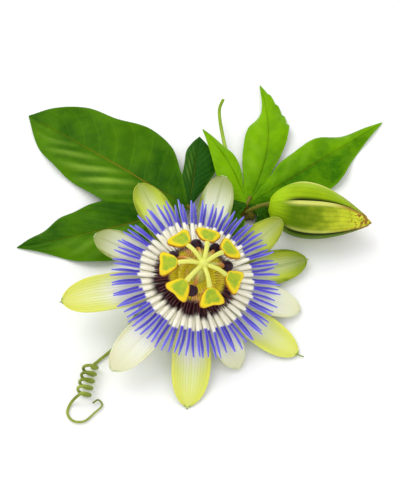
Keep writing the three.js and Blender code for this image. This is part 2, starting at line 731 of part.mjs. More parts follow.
const sprig = new THREE.Group();
sprig.add(bloom);
sprig.add(piece('bloom_stalk', cupAndStalk(bloom.matrix), CUP_LOOK));
sprig.add(piece('bud', bud(), BUD_LOOK));
sprig.add(piece('leaf_left', leaf(LEFT_LEAF, LEFT_LEAF_STALK), OLD_LEAF_LOOK));
sprig.add(piece('leaf_right', leaf(RIGHT_LEAF, RIGHT_LEAF_STALK), YOUNG_LEAF_LOOK));
sprig.add(piece('vine', onTable(vineSolid(0)), VINE_LOOK));
sprig.add(piece('tendril_coiled', coiledTendril(), TENDRIL_LOOK));
sprig.add(piece('tendril_young', youngTendril(), TENDRIL_LOOK));

export default sprig;
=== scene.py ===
"""Dresses a cut passion flower sprig: an open bloom, a closed bud, two palmate leaves and two tendrils.

Shapes are given in millimetres in the sprig's own frame: +Z up from the table, and the bloom's near side
towards -Y. Every finished mesh is in metres.
"""

import bisect
import math
import random
from collections import namedtuple

import bpy
from mathutils import Matrix, Vector, noise


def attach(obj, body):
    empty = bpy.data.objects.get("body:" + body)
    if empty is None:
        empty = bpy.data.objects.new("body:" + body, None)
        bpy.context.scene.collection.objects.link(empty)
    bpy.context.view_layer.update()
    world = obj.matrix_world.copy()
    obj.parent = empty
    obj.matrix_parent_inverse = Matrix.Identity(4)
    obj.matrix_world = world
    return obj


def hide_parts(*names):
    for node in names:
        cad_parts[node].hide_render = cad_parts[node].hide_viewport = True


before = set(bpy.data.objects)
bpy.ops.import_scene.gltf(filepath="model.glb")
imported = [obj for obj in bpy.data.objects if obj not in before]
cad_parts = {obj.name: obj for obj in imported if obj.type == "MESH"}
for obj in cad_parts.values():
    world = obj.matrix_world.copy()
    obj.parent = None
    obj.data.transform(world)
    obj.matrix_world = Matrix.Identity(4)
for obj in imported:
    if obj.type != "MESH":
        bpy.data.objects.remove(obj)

bl_info = {
    "name": "Passion Flower Sprig",
    "version": (1, 0, 0),
    "blender": (4, 5, 0),
    "location": "View3D > Sidebar > Sprig",
    "description": "Models and finishes a cut passion flower sprig round its frame",
    "category": "Object",
}

MM = 0.001
TABLE = 0.0
WELD_M = 1e-6
UV_NAME = "UVMap"
NOISE_RANGE = (0.3, 0.7)
TINT = "tint"
SWELL = "swell"
PALE = "pale"

# The bloom: the middle of its crown, and how far its axis leans to the right and to the front
BLOOM_CENTRE = Vector((2.5, -7, 16))
LEAN_RIGHT = math.radians(11.6)
LEAN_FORWARD = math.radians(5.8)
TO_SPRIG = (
    Matrix.Translation(BLOOM_CENTRE)
    @ Matrix.Rotation(LEAN_RIGHT, 4, "Y")
    @ Matrix.Rotation(LEAN_FORWARD, 4, "X")
)

# Sepals and petals: direction round the bloom in degrees, tone from 0 for the palest to 1 for the greenest,
# reach from the bloom's axis, heights of the root, of the tip and of the blade two thirds of the way out,
# width, and how far the margins rise
Tepal = namedtuple("Tepal", "angle tone reach root tip shoulder width cupping")
PETALS = (
    Tepal(76.3, 1, 49, -3.9, -6.6, -4.3, 13, 1),
    Tepal(157.9, 0.95, 41.8, -3.9, -6.5, -4.3, 12.5, 1),
    Tepal(231.5, 0.3, 47, -3.9, -8.4, -4.6, 13, 1),
    Tepal(299.9, 0.3, 37, -3.9, -7.9, -4.4, 12, 0.8),
    Tepal(350.3, 0.2, 42.6, -3.9, -5.5, -4.3, 12, 0.8),
)
SEPALS = (
    Tepal(119.4, 0.85, 45.9, -5.7, -6.7, -5.2, 13.5, 1.4),
    Tepal(193.3, 0.2, 50.5, -5.7, -8.7, -5.4, 14.5, 1.7),
    Tepal(269.7, 0.15, 47.5, -5.7, -11.2, -7.2, 14.5, 1.2),
    Tepal(327.6, 0.1, 47.6, -5.7, -4.5, -6.9, 13, 0.9),
    Tepal(17.4, 1, 46.8, -7.4, -4.8, -8.4, 14, 0.5),
    Tepal(38.5, 0.8, 41.2, -5.3, 4.3, -6.6, 12.5, 0.9),
)
TEPAL_START = 8.4
TEPAL_BENDS = (0.35, 0.7)
TEPAL_RISE = 0.3
TEPAL_ROOT_SHARE = 0.52
TEPAL_WIDEST = 0.6
TEPAL_BLUNTNESS = 2.2
TEPAL_TIP_CROWDING = 1.5
TEPAL_CROOK = 0.8
CUPPING_AHEAD = 0.15
CUPPING_GAIN = 0.5
STEEPEST_CUP = 0.5
MARGIN_RETREAT = 0.6
RIPPLE_HEIGHT = 0.3
RIPPLE_RATE = 11
GROOVE_DEPTH = 0.3
GROOVE_WIDTH = 0.14
GROOVE_AHEAD = 0.1
KEEL_SHARES = (0.04, 0.16, 0.28, 0.4, 0.52, 0.64, 0.76, 0.86, 0.94)
KEEL_DROP = 0.75
KEEL_RADIUS = 0.5
KEEL_TAPER = 0.55
HORN_ROOT = Vector((-0.3, 0, -0.5))
HORN_DROP = 0.4
HORN_RISE = 0.7
SEPAL_SEED = 20

# How far each sepal's horn stands out past its tip
SEPAL_HORNS = (0.5, 0.5, 0.6, 2.4, 0.6, 0.4)

# The cup under the bloom and the bracts that hug it
CUP_BOTTOM = -11.6
CUP_PROFILE = (
    (0, CUP_BOTTOM), (1.7, CUP_BOTTOM), (4.5, -10.8), (7.4, -9.8), (9.1, -8.7), (9.5, -8), (9.5, -5),
    (9.4, -2.2), (8, -2.1), (0, -2.1),
)
BRACT_ANGLES = (60, 180, 300)
BRACT_RIB = ((2.3, -12.1), (6, -11.8), (10.2, -10.7), (13.6, -9.6))
BRACT_WIDTH = 9
BRACT_ROOT = 0.12
BRACT_BLUNTNESS = 0.8
BRACT_FRILL = 0.25
BRACT_FRILL_RATE = 14
NECK_RISES = (1.4, -0.4)
RIBS = 5
RIBBED_RADIUS = 0.94
STALK_RIB_HEIGHT = 0.05
VINE_RIB_HEIGHT = 0.06

# The crown: two ranks of filaments on one ring, and a dark inner rank on the nectar disc
CROWN_RADIUS = 32
UPPER_RANK = ((9, -0.55), (16, 0.3), (24, 0.6), (CROWN_RADIUS, 0.2))
LOWER_RANK = ((9, -1.35), (16, -0.9), (24, -0.9), (CROWN_RADIUS - 0.6, -1.4))
CREAM_FROM = 16.2
VIOLET_FROM = 21.7
FILAMENT_STEPS = 20
FILAMENT_SIDES = 6
FILAMENT_WANDER = (0.3, 8)
FILAMENT_LIFT = 0.6
LONGEST_FILAMENT = 1.035
FILAMENT_UNEVENNESS = 0.06
CROWN_SEED = 7

# How a filament's radius changes: from and to which share of its length, and by which factors
FILAMENT_SWELLINGS = ((0.1, 0.34, 0.6, 1.12), (0.48, 0.6, 1, 0.73), (0.84, 1, 1, 0.45))

# Where round the bloom the inner crown is pale, and at which cosines of the angle from there the paleness
# begins and is full
PALE_SIDE = math.radians(82)
PALE_RANGE = (0.15, 0.55)
RING_PROFILE = ((7.5, -1.9), (10.4, -1.9), (10.6, -0.9), (10.2, 0), (7.5, 0), (7.5, -1.9))
DISC_PROFILE = ((0, -1.9), (7.2, -1.9), (7.2, 0.9), (6.6, 1.4), (5.4, 1.7), (4.6, 1.3), (3.4, 1.2), (0, 1.2))
SPIKE_PATH = ((6.2, 0.3), (9, 1.4), (12, 2), (16.2, 1.7))
HAIR_PATH = ((4.6, 0.9), (5.4, 2.4), (6.6, 3.6), (7.8, 4.2))

# The column, and what it carries above the crown
COLUMN_PROFILE = (
    (0, 1.2), (3.2, 1.4), (2.9, 1.9), (2, 3), (1.8, 8), (1.9, 11), (1.85, 13), (1.3, 14.1), (0.6, 14.6),
    (0, 14.7),
)
STAMEN_ANGLES = (81, 129.5, 181, 230, 287, 340, 38)
ARM_PATH = ((1, 12.8), (3, 13.4), (5.6, 13.6), (8, 12.7), (10, 11.4), (12, 10.3))
ARM_WIDTHS = (0.95, 1.25)
ARM_WIDENS_FROM = 0.35
ARM_FLATNESS = 0.3

# An anther is a pad between two points, with a half width at each. A line from the middle of its top to the
# middle of its underside stays on the top for its first share, and then rolls over the rim
ANTHER_INNER = Vector((9.2, 0, 12.1))
ANTHER_OUTER = Vector((16, 0, 9.2))
ANTHER_HALF_WIDTHS = (2, 6)
ANTHER_SQUARENESS = 0.6
ANTHER_TOP_SHARE = 0.4
ANTHER_TOP_REACH = 0.84
ANTHER_HOLLOW = 0.6
ANTHER_HOLLOW_REACH = 0.4
ANTHER_FLARE = 0.9
ANTHER_NOTCH = 0.7
ANTHER_DROOP = 0.9
ANTHER_LUMPS = 0.15
LUMPS_PER_METRE = 900
LUMP_SEED = 5

# The styles: the direction and reach of each, the points that all of them start with, and the bend before
# the stigma, measured back from it
STYLES = ((99, 10.2), (58.4, 10.8), (14.4, 10.6), (252, 9), (157, 11))
STYLE_START = ((1, 11), (2.4, 11.1), (4.4, 11))
STYLE_BEND = ((3.2, 9.7), (1.9, 7.4))
STYLE_WIDENING = 0.25
STIGMA_HEIGHT = 6.6
STIGMA_DENT = 0.16
STIGMA_DENT_WIDTH = 0.5
STIGMA_FLATNESS = 0.9
STIGMA_LUMPS = 0.18

# The bud lies on its side, closed by five overlapping sepals. A seam is where two of them meet: its place
# round the bud in degrees, how far it turns on its way to the tip, whether the next sepal lies on top, and
# how far in degrees the painted shadow beside it reaches. A sepal is given by the share of the bud's length
# at which it ends, and by its body's two colours
BUD_BASE = Vector((31.4, 28.2, 11))
BUD_TIP = Vector((70.4, 19.8, 10.7))
BUD_LENGTH = 40
BUD_RADIUS = 10.9
BUD_SKEW = 0.68
BUD_FULLNESS = 0.8
BUD_BLUNTNESS = 0.012
BUD_SEAMS = ((35, -20, 1, 9), (108, -45, 1, 12), (169, 0, -1, 19), (240, -10, -1, 12), (315, -20, -1, 9))
# The front and lower sepals take a darker green, which on the lowest ones is painted shadow
BUD_SEPALS = (
    (0.95, "bud", "bud"), (1, "bud_front", "bud_light"), (0.98, "bud_front", "bud_front"),
    (0.96, "bud", "bud_front"), (0.98, "bud", "bud"),
)
BUD_TUCK = 10
BUD_ENDS = (0.01, 0.97)
BUD_SEPAL_START = 0.004
BUD_FOLDS_FROM = (0.05, 0.3)
BUD_RAGGEDNESS = 0.4
BUD_RAGGED_FROM = 0.9
BUD_RAGS = 9
BUD_AWN_RADIUS = 0.45
BUD_AWN_TAPER = 0.75
BUD_STALK_FLARE = 0.9
BUD_STALK_FLARES_FROM = 0.75
BUD_HEART = 0.88
BUD_SHEET = 0.95

# Beside a seam, the sepal on top is raised by a step that fades out in degrees, and rolled into a lip. The
# lip is given by its middle and its two reaches in degrees, and by its height as a share of the bud's radius
BUD_STEP = 0.065
BUD_STEP_REACH = 15
BUD_LIP_MIDDLE = 2.5
BUD_LIP_REACHES = (3.5, 7)
BUD_LIP_HEIGHT = 0.022
BUD_EDGE_DEPTH = 0.03
BUD_EDGE_REACH = 1.5
BUD_TINT_REACH = 9

# The awn near a sepal's end: how far before the end each point lies as a share of the bud's length, its
# radius as a share of the bud's, and how far it stands out beyond that
BUD_AWN = ((0.12, 0.97, 0), (0.06, 1, 0), (0.03, 1.05, 0), (0.005, 1, 0.6))
BUD_STALK = ((22, 28.8, 2.4), (22.3, 27.6, 6.2), (25, 27.6, 9), (29, 28.2, 10.8), (33, 28, 11))

# The vine and what grows from its two joints
VINE = ((-10, 18, 1.7), (-2, 22, 1.7), (4.5, 25, 2), (13, 28, 1.8), (22, 28.8, 2.2), (25.6, 28.4, 1.9))
FIRST_JOINT = Vector((4.5, 25, 2.4))
SECOND_JOINT = Vector((22, 28.8, 2.4))
JOINT_REACH = 0.045
STALK_TURN = ((0, -4.9, 2.2), (0, -1.5, 1.25), (0, 5, 1.2), (1.2, 14, 1.3), (4.5, 24, 2))
YOUNG_TENDRIL = (
    (21.4, 29.6, 2.2), (19.6, 40, 2.6), (16.4, 52, 3.2), (13.6, 64, 4.2), (12, 79, 5.6), (13.6, 83, 7),
)
COILED_TENDRIL_START = ((2.2, 24.2, 1.8), (-3, 18, 1), (-11, 3, 0.9), (-20, -14, 1), (-28, -28.6, 1.2))
TENDRIL_TAPER = 0.45
TENDRIL_TAPERS_FROM = 0.8
YOUNG_TENDRIL_TAPER = 0.25
COIL_START = Vector((-36.6, -37.2, 3.3))
COIL_END = Vector((-39, -49.6, 3.3))
COIL_RADIUS = 2.5
COIL_TURNS = 4.5
COIL_POINTS_PER_TURN = 12
COILED_TENDRIL_END = (
    (-43.6, -51.6, 0.9), (-44.6, -55.6, 0.8), (-42.4, -58.4, 0.8), (-38.4, -58.6, 0.8), (-34.8, -55.4, 0.8),
    (-32, -52.2, 0.9), (-33.6, -50.4, 1.2), (-35.4, -51.8, 1.6),
)

# Leaves. The lobes run clockwise round the leaf's base. A lobe is given by its tip, its shade from -1 for
# the lightest to 1 for the darkest, the share of the broad swellings' height, the sideways bow of its midrib
# to the right, the length of the teeth on its right margin, and its two margins past the notches, each point
# as share of the lobe's length and distance from the straight line to the tip. The notches lie between the
# lobes, with one more at each end
Lobe = namedtuple("Lobe", "tip shade swell bow tooth left right")
Leaf = namedtuple("Leaf", "base notches lobes")
LEFT_LEAF = Leaf(
    (-0.5, 30.3, 5.2),
    ((-9, 20, 4.6), (-34.9, 33.5, 5.6), (-3.4, 45, 6), (6.2, 40, 5.4)),
    (
        Lobe(
            (-68.8, 14.6, 0.4), 0.1, 0.6, -1.5, 0,
            ((0.45, 15), (0.62, 13.9), (0.8, 7.2)), ((0.64, 10.6), (0.82, 5.2)),
        ),
        Lobe(
            (-68.9, 79.2, 0.4), 0, 1, 0, 0,
            ((0.5, 16.6), (0.66, 15), (0.84, 10)),
            ((0.28, 20), (0.44, 23.2), (0.6, 18.8), (0.78, 17.8), (0.92, 9)),
        ),
        Lobe((3.6, 64.6, 5.6), 1, 0.55, 0, 0, ((0.6, 4.4), (0.82, 4)), ((0.6, 8.6), (0.82, 5.6))),
    ),
)
RIGHT_LEAF = Leaf(
    (22.9, 31.6, 5.6),
    (
        (19.4, 26.6, 5.8), (14.6, 35, 5.8), (21.4, 37.6, 6.2), (30.8, 42.6, 5.4), (33.4, 32, 3.2),
        (28.4, 25, 2.8),
    ),
    (
        # The first and last lobes lie in the shade of the bloom and the bud; their dark shade is painted
        # shadow
        Lobe((7, 16.6, 4), 0.7, 0, 0, 0, ((0.3, 5), (0.6, 6.4)), ((0.6, 5),)),
        Lobe((4.8, 66.1, 9), -0.6, 0.2, 2, 0, ((0.5, 4.4), (0.74, 1.8)), ((0.46, 5.6), (0.68, 4.4))),
        Lobe(
            (29.6, 95.4, 0.6), -0.3, 0.4, 5.8, 1.1,
            ((0.42, 4.2), (0.6, 3), (0.76, -1.8)), ((0.42, 11.4), (0.6, 13.6), (0.76, 10.4)),
        ),
        Lobe(
            (80.9, 75.8, 0.4), 0, 0.3, 0.5, 0,
            ((0.36, 9), (0.58, 9.4), (0.76, 4)), ((0.34, 11.5), (0.52, 12.4), (0.7, 6.6)),
        ),
        Lobe((34.6, 21.6, 0.6), 0.8, 0, 0, 0, ((0.6, 3),), ((0.45, 8), (0.75, 8))),
    ),
)
NOTCH_SHARE = 3 / 11
LOBE_ARCH = 2.2
LOBE_FOLD = 1.4
HALF_WAVES = 5
FULL_WAVE_LENGTH = 60
WAVE_FADE = 1.5
TEETH = 9
TEETH_FROM = (0.35, 0.6)
TEETH_TO = (0.85, 1)
SIDE_VEINS = 11
SIDE_VEIN_SLANT = 0.24
SWELLS = 7
SWELL_SLANT = 0.3
SWELLS_FROM = (0.15, 0.4)
LEAF_STALK_FOOT = 0.3
LEAF_STALK_FOOT_REACH = 0.2
LEFT_LEAF_STALK = ((4.2, 25.4, 2.6), (2.4, 28.6, 4.4), (-1.5, 31.2, 5.2))
RIGHT_LEAF_STALK = ((22, 29.4, 3), (22.6, 31.8, 5.2), (24, 35, 5.8))

# The camera looks down on the table from the near side
CAMERA_TARGET = Vector((3.8, 1.7, 21))
CAMERA_DISTANCE = 430
CAMERA_ELEVATION = math.radians(60)
CAMERA_CLIP_M = 0.01

# The lights: place and side in metres
KEY_LIGHT = ((-0.55, 0.5, 1.0), 0.9)
FILL_LIGHT = ((0.3, -0.9, 0.7), 0.8)


def linear(red, green, blue):
    """A screen colour, from 0 to 255, as the linear colour that a shader takes."""
    def channel(value):
        share = value / 255
        return share / 12.92 if share <= 0.04045 else ((share + 0.055) / 1.055) ** 2.4

    return channel(red), channel(green), channel(blue)


def colour(name, description, red, green, blue):
    return bpy.props.FloatVectorProperty(
        name=name, description=description, subtype="COLOR", size=3, min=0, max=1,
        default=linear(red, green, blue),
    )


def length(name, description, millimetres):
    return bpy.props.FloatProperty(
        name=name, description=description, unit="LENGTH", min=0, precision=5, default=millimetres * MM,
    )


def number(name, description, default):
    return bpy.props.IntProperty(name=name, description=description, min=1, default=default)


def plain(name, description, default):
    return bpy.props.FloatProperty(name=name, description=description, default=default)


class SprigColours(bpy.types.PropertyGroup):
    petal: colour("Petal", "Body of a pale petal's upper face", 248, 248, 238)
    petal_green: colour("Petal green", "Body of a greener petal's upper face", 228, 233, 200)
    petal_edge: colour("Petal edge", "Margin and tip of a pale petal", 250, 248, 204)
    petal_edge_green: colour("Petal edge green", "Margin and tip of a greener petal", 126, 144, 0)
    petal_vein: colour("Petal vein", "Veins along a petal", 206, 214, 150)
    sepal: colour("Sepal", "Body of a pale sepal's upper face", 214, 222, 128)
    sepal_green: colour("Sepal green", "Body of a greener sepal's upper face", 214, 230, 66)
    sepal_edge: colour("Sepal edge", "Margin and tip of a pale sepal", 240, 242, 104)
    sepal_edge_green: colour("Sepal edge green", "Margin and tip of a greener sepal", 108, 136, 0)
    sepal_vein: colour("Sepal vein", "Veins along a sepal", 188, 202, 74)
    sepal_back: colour("Sepal back", "Underside and keel of a sepal", 146, 172, 48)
    filament_root: colour("Filament root", "Inner zone of the outer crown", 50, 10, 24)
    filament_middle: colour("Filament middle", "Cream zone of the outer crown", 255, 252, 232)
    filament_outer: colour("Filament outer", "Violet zone of the outer crown", 70, 56, 200)
    # Painted highlight on the flanks of the violet filaments
    filament_side: colour("Filament side", "Sides of the filaments in the violet zone", 226, 226, 244)
    filament_tip: colour("Filament tip", "Tips of the outer crown", 112, 108, 232)
    inner_crown: colour("Inner crown", "Spikes and rim of the nectar disc", 72, 20, 24)
    disc: colour("Nectar disc", "Nectar disc round the column", 244, 230, 44)
    disc_blush: colour("Disc blush", "Peach patches of the nectar disc", 255, 198, 132)
    column: colour("Column", "Column and ovary", 218, 224, 112)
    speckle: colour("Speckle", "Specks on the column", 110, 40, 70)
    arm: colour("Stamen arm", "Arms of the stamens", 224, 226, 100)
    anther: colour("Anther rim", "Pollen on the anther's rim", 244, 216, 0)
    # Painted shade on the anther's flanks and underside
    anther_shade: colour("Anther shade", "Flanks and underside of the anther", 176, 112, 4)
    anther_middle: colour("Anther middle", "Middle of the anther", 148, 180, 22)
    anther_patch: colour("Anther patch", "Light patches in the middle of the anther", 206, 208, 30)
    style: colour("Style", "Styles near their stigma", 204, 136, 48)
    stigma: colour("Stigma", "Stigmas", 30, 2, 18)
    # Painted sheen, laid on the stigmas in random light patches
    stigma_bloom: colour("Stigma bloom", "Light patches on the stigmas", 92, 44, 78)
    bud: colour("Bud", "Upper sepals of the bud", 160, 192, 8)
    # Darker green of the front sepals; on the lowest it is painted shadow
    bud_front: colour("Bud front", "Front sepals of the bud", 90, 122, 0)
    bud_light: colour("Bud light", "Outer half of the bud's front sepals", 222, 228, 56)
    bud_base: colour("Bud base", "Swollen base of the bud", 168, 206, 20)
    bud_shade: colour("Bud shade", "Middle and lower face of the bud's sepals", 92, 126, 0)
    # Painted shadow in the strip beside a tucked margin
    bud_seam: colour("Bud seam", "Where a sepal of the bud is tucked under its neighbour", 20, 34, 0)
    # Pale rolled margins, partly a painted highlight
    bud_lip: colour("Bud lip", "Rolled margins of the bud's sepals", 228, 230, 120)
    bud_tip: colour("Bud tip", "Dry tips of the bud", 156, 104, 44)
    old_leaf: colour("Old leaf", "Body of the left leaf", 34, 82, 0)
    # Also gives the painted light on one half of each lobe
    old_leaf_light: colour("Old leaf light", "Light patches of the left leaf", 80, 128, 0)
    old_rib: colour("Old rib", "Midribs of the left leaf", 132, 118, 20)
    young_leaf: colour("Young leaf", "Body of the right leaf", 50, 106, 0)
    # Also gives the painted light on one half of each lobe
    young_leaf_light: colour("Young leaf light", "Light patches of the right leaf", 124, 178, 2)
    young_rib: colour("Young rib", "Midribs of the right leaf", 112, 110, 10)
    leaf_vein: colour("Leaf vein", "Side veins of both leaves", 124, 172, 20)
    # Painted highlight on the crests of the broad swellings
    leaf_gloss: colour("Leaf gloss", "Crests of the broad swellings of both leaves", 164, 200, 72)
    # Colour of the darkest lobes; on the right leaf's lobes in the shade of the bloom and bud it is painted
    # shadow
    leaf_shade: colour("Leaf shade", "Lobes that turned dark and bluish", 20, 72, 14)
    leaf_back: colour("Leaf back", "Undersides of both leaves", 116, 156, 70)
    tendril: colour("Tendril", "Body of the coiled tendril", 168, 184, 74)
    tendril_dark: colour("Tendril dark", "Old stretches of the coiled tendril", 94, 108, 14)
    young_tendril: colour("Young tendril", "Body of the young tendril", 172, 206, 60)
    young_tendril_dark: colour("Young tendril dark", "Ripe stretches of the young tendril", 112, 146, 10)
    vine: colour("Vine", "Body of the vine and the leaf stalks", 108, 122, 26)
    vine_dark: colour("Vine dark", "Joints and the bud's stalk", 118, 66, 22)
    pith: colour("Pith", "Cut ends of the vine", 206, 212, 150)
    floor: colour("Floor", "Table top", 255, 255, 255)


class SprigSizes(bpy.types.PropertyGroup):
    tepal_thickness: length("Tepal thickness", "Thickness of sepals and petals", 0.55)
    bract_thickness: length("Bract thickness", "Thickness of the bracts", 0.4)
    filament_radius: length("Filament radius", "Greatest radius of an outer filament", 0.76)
    filaments: number("Filaments per rank", "Outer filaments in each of the two ranks", 45)
    spike_radius: length("Spike radius", "Greatest radius of an inner filament", 0.4)
    spikes: number("Spikes", "Inner filaments on the nectar disc", 72)
    arm_radius: length("Arm radius", "Half the width of a stamen's arm", 0.88)
    anther_thickness: length("Anther thickness", "Thickness of an anther at its rim", 1.7)
    style_radius: length("Style radius", "Radius of a style at its root", 0.6)
    stigma_radius: length("Stigma radius", "Radius of a stigma", 2.25)
    bud_wall: length("Bud wall", "Thickness of the bud's sepals", 0.7)
    bud_stalk_radius: length("Bud stalk radius", "Radius of the bud's stalk", 0.8)
    leaf_thickness: length("Leaf thickness", "Thickness of a leaf", 0.5)
    leaf_wave: length("Leaf wave", "Height of the waves along a leaf's margin", 1.1)
    leaf_quilt: length("Leaf quilt", "Height of the leaf's swellings between side veins", 0.06)
    leaf_swell: length("Leaf swell", "Height of the broad swellings on one side of a lobe", 0.9)
    leaf_stalk_radius: length("Leaf stalk radius", "Radius of a leaf's stalk", 0.95)
    stalk_radius: length("Stalk radius", "Radius of the bloom's stalk", 1.6)
    vine_radius: length("Vine radius", "Radius of the vine between joints", 1.7)
    joint_swelling: length("Joint swelling", "How far a joint stands out of the vine", 0.7)
    tendril_radius: length("Tendril radius", "Radius of the coiled tendril", 0.58)
    young_tendril_radius: length("Young tendril radius", "Radius of the young tendril at its root", 0.9)


class SprigStage(bpy.types.PropertyGroup):
    floor_side: length("Floor side", "Side of the square floor", 6000)
    lens: plain("Lens", "Focal length in millimetres", 82.6)
    key_power: plain("Key power", "Watts of the main light", 6)
    fill_power: plain("Fill power", "Watts of the front light", 1.4)
    sky: plain("Sky", "Strength of the even light all round", 0.85)


def settings():
    return bpy.context.scene.sprig_sizes


def colours():
    return bpy.context.scene.sprig_colours


def mm(value):
    """A length from the settings, in millimetres."""
    return value / MM


def lerp(low, high, share):
    return low + (high - low) * share


def smoothstep(low, high, value):
    share = min(1, max(0, (value - low) / (high - low)))
    return share * share * (3 - 2 * share)


class Route:
    """A smooth line through points in millimetres, read by the share of its length."""

    STEPS_PER_SPAN = 16

    def __init__(self, points):
        points = [Vector(point) for point in points]
        padded = [2 * points[0] - points[1], *points, 2 * points[-1] - points[-2]]
        self.samples = [points[0]]
        for i in range(1, len(padded) - 2):
            self.samples += self.span(*padded[i - 1:i + 3])
        self.lengths = [0]
        for here, there in zip(self.samples, self.samples[1:]):
            self.lengths.append(self.lengths[-1] + (there - here).length)
        self.sides = self.carried_sides()

    def span(self, before, start, end, after):
        """Points from start, left out, to end on the span that passes through both."""
        first = math.sqrt((start - before).length)
        middle = math.sqrt((end - start).length)
        last = math.sqrt((after - end).length)
        leave = (start - before) / first - (end - before) / (first + middle) + (end - start) / middle
        arrive = (end - start) / middle - (after - start) / (middle + last) + (after - end) / last
        leave *= middle
        arrive *= middle
        found = []
        for i in range(1, self.STEPS_PER_SPAN + 1):
            t = i / self.STEPS_PER_SPAN
            found.append(
                start
                + leave * t
                + (3 * (end - start) - 2 * leave - arrive) * t ** 2
                + (2 * (start - end) + leave + arrive) * t ** 3
            )
        return found

    def carried_sides(self):
        """A sideways direction at each sample, which turns no more than the line itself does."""
        heading = (self.samples[1] - self.samples[0]).normalized()
        upright = Vector((0, 0, 1)) if abs(heading.z) < 0.9 else Vector((0, 1, 0))
        side = upright.cross(heading).normalized()
        sides = []
        for i in range(len(self.samples)):
            ahead = self.samples[min(i + 1, len(self.samples) - 1)]
            behind = self.samples[max(i - 1, 0)]
            heading = (ahead - behind).normalized()
            side = (side - heading * side.dot(heading)).normalized()
            sides.append(side)
        return sides

    def locate(self, share):
        reach = min(1, max(0, share)) * self.lengths[-1]
        i = min(max(bisect.bisect_right(self.lengths, reach) - 1, 0), len(self.samples) - 2)
        return i, (reach - self.lengths[i]) / (self.lengths[i + 1] - self.lengths[i])

    def point(self, share):
        i, rest = self.locate(share)
        return self.samples[i].lerp(self.samples[i + 1], rest)

    def cross(self, share):
        """The point at a share of the length, with the directions across it."""
        i, rest = self.locate(share)
        heading = (self.samples[i + 1] - self.samples[i]).normalized()
        side = self.sides[i].lerp(self.sides[i + 1], rest)
        side = (side - heading * side.dot(heading)).normalized()
        return self.point(share), side, heading.cross(side)

    def share_near(self, place):
        """The share of the length at which the line passes closest to a place."""
        nearest = min(range(len(self.samples)), key=lambda i: (self.samples[i] - place).length)
        return self.lengths[nearest] / self.lengths[-1]


def profile_route(pairs):
    """A smooth line in an upright plane through the axis, from pairs of radius and height."""
    return Route([(radius, 0, height) for radius, height in pairs])


def shaped_grid(name, columns, rows, place):
    """A grid whose point at shares (u, v) is moved to place(u, v), in millimetres."""
    bpy.ops.mesh.primitive_grid_add(x_subdivisions=columns, y_subdivisions=rows, size=1, calc_uvs=True)
    piece = bpy.context.object
    piece.name = name
    piece.data.name = name
    for vertex in piece.data.vertices:
        vertex.co = place(vertex.co.x + 0.5, vertex.co.y + 0.5) * MM
    return piece


def welded(piece, closed=True):
    """Merges points that share a place and, on a closed shape, turns the faces outwards."""
    bpy.ops.object.mode_set(mode="EDIT")
    bpy.ops.mesh.select_all(action="SELECT")
    bpy.ops.mesh.remove_doubles(threshold=WELD_M)
    if closed:
        bpy.ops.mesh.normals_make_consistent(inside=False)
    bpy.ops.object.mode_set(mode="OBJECT")
    return piece


def capped(share, steps):
    """The share along a tube, whose first and last steps are its end caps, and 0 at a cap's middle."""
    step = round(share * steps)
    if step in (0, steps):
        return step / steps, 0
    return (step - 1) / (steps - 2), 1


def tube(name, route, steps, sides, radius):
    """A closed tube along a route. radius(share, turn) is in millimetres."""
    def place(u, v):
        share, open_here = capped(u, steps)
        point, side, up = route.cross(share)
        turn = 2 * math.pi * v
        reach = radius(share, turn) * open_here
        return point + side * (reach * math.cos(turn)) + up * (reach * math.sin(turn))

    return welded(shaped_grid(name, steps, sides, place))


def lathed(name, profile, steps, sides):
    """A solid of revolution round +Z, from pairs of radius and height that start and end on the axis."""
    route = profile_route(profile)

    def place(u, v):
        point = route.point(u)
        turn = 2 * math.pi * v
        radius = 0 if u in (0, 1) and profile[0][0] == 0 else point.x
        return Vector((radius * math.cos(turn), radius * math.sin(turn), point.z))

    return welded(shaped_grid(name, steps, sides, place))


def moved(piece, matrix):
    """Moves the points of a piece by a matrix in millimetres."""
    scale = Matrix.Scale(MM, 4)
    piece.data.transform(scale @ matrix @ scale.inverted())
    return piece


def turned(angle):
    return Matrix.Rotation(math.radians(angle), 4, "Z")


def select_only(pieces):
    bpy.ops.object.select_all(action="DESELECT")
    for piece in pieces:
        piece.select_set(True)
    bpy.context.view_layer.objects.active = pieces[0]


def joined(name, pieces):
    """Joins pieces into the first of them."""
    select_only(pieces)
    if len(pieces) > 1:
        bpy.ops.object.join()
    piece = bpy.context.object
    piece.name = name
    piece.data.name = name
    return piece


def dressed(piece, *looks):
    """Gives a piece its materials, one for each slot."""
    piece.data.materials.clear()
    for look in looks:
        piece.data.materials.append(look)
    return piece


def modified(piece, kind, **values):
    """Adds a modifier to a piece, sets it and applies it."""
    select_only([piece])
    bpy.ops.object.modifier_add(type=kind)
    modifier = piece.modifiers[-1]
    for key, value in values.items():
        setattr(modifier, key, value)
    bpy.ops.object.modifier_apply(modifier=modifier.name)
    return piece


def thickened(piece, thickness, back=0):
    """Gives an open sheet its thickness, half on each side. back is the material slot of its underside."""
    return modified(
        piece, "SOLIDIFY", thickness=thickness, offset=0, use_even_offset=False, material_offset=back,
    )


def smoothed(piece, sharp_degrees=60):
    select_only([piece])
    bpy.ops.object.shade_smooth_by_angle(angle=math.radians(sharp_degrees))
    return piece


def copies(piece, count, reshape):
    """Copies of a piece, each with its own mesh. reshape(i, point) places each point, in millimetres."""
    made = []
    for i in range(count):
        copy = piece.copy()
        copy.data = piece.data.copy()
        bpy.context.collection.objects.link(copy)
        for vertex in copy.data.vertices:
            vertex.co = reshape(i, vertex.co / MM) * MM
        made.append(copy)
    return made


def stored(piece, name, values):
    """Stores a value on each of a piece's points, for its material to read."""
    held = piece.data.attributes.get(name) or piece.data.attributes.new(name, "FLOAT", "POINT")
    held.data.foreach_set("value", values)
    return piece


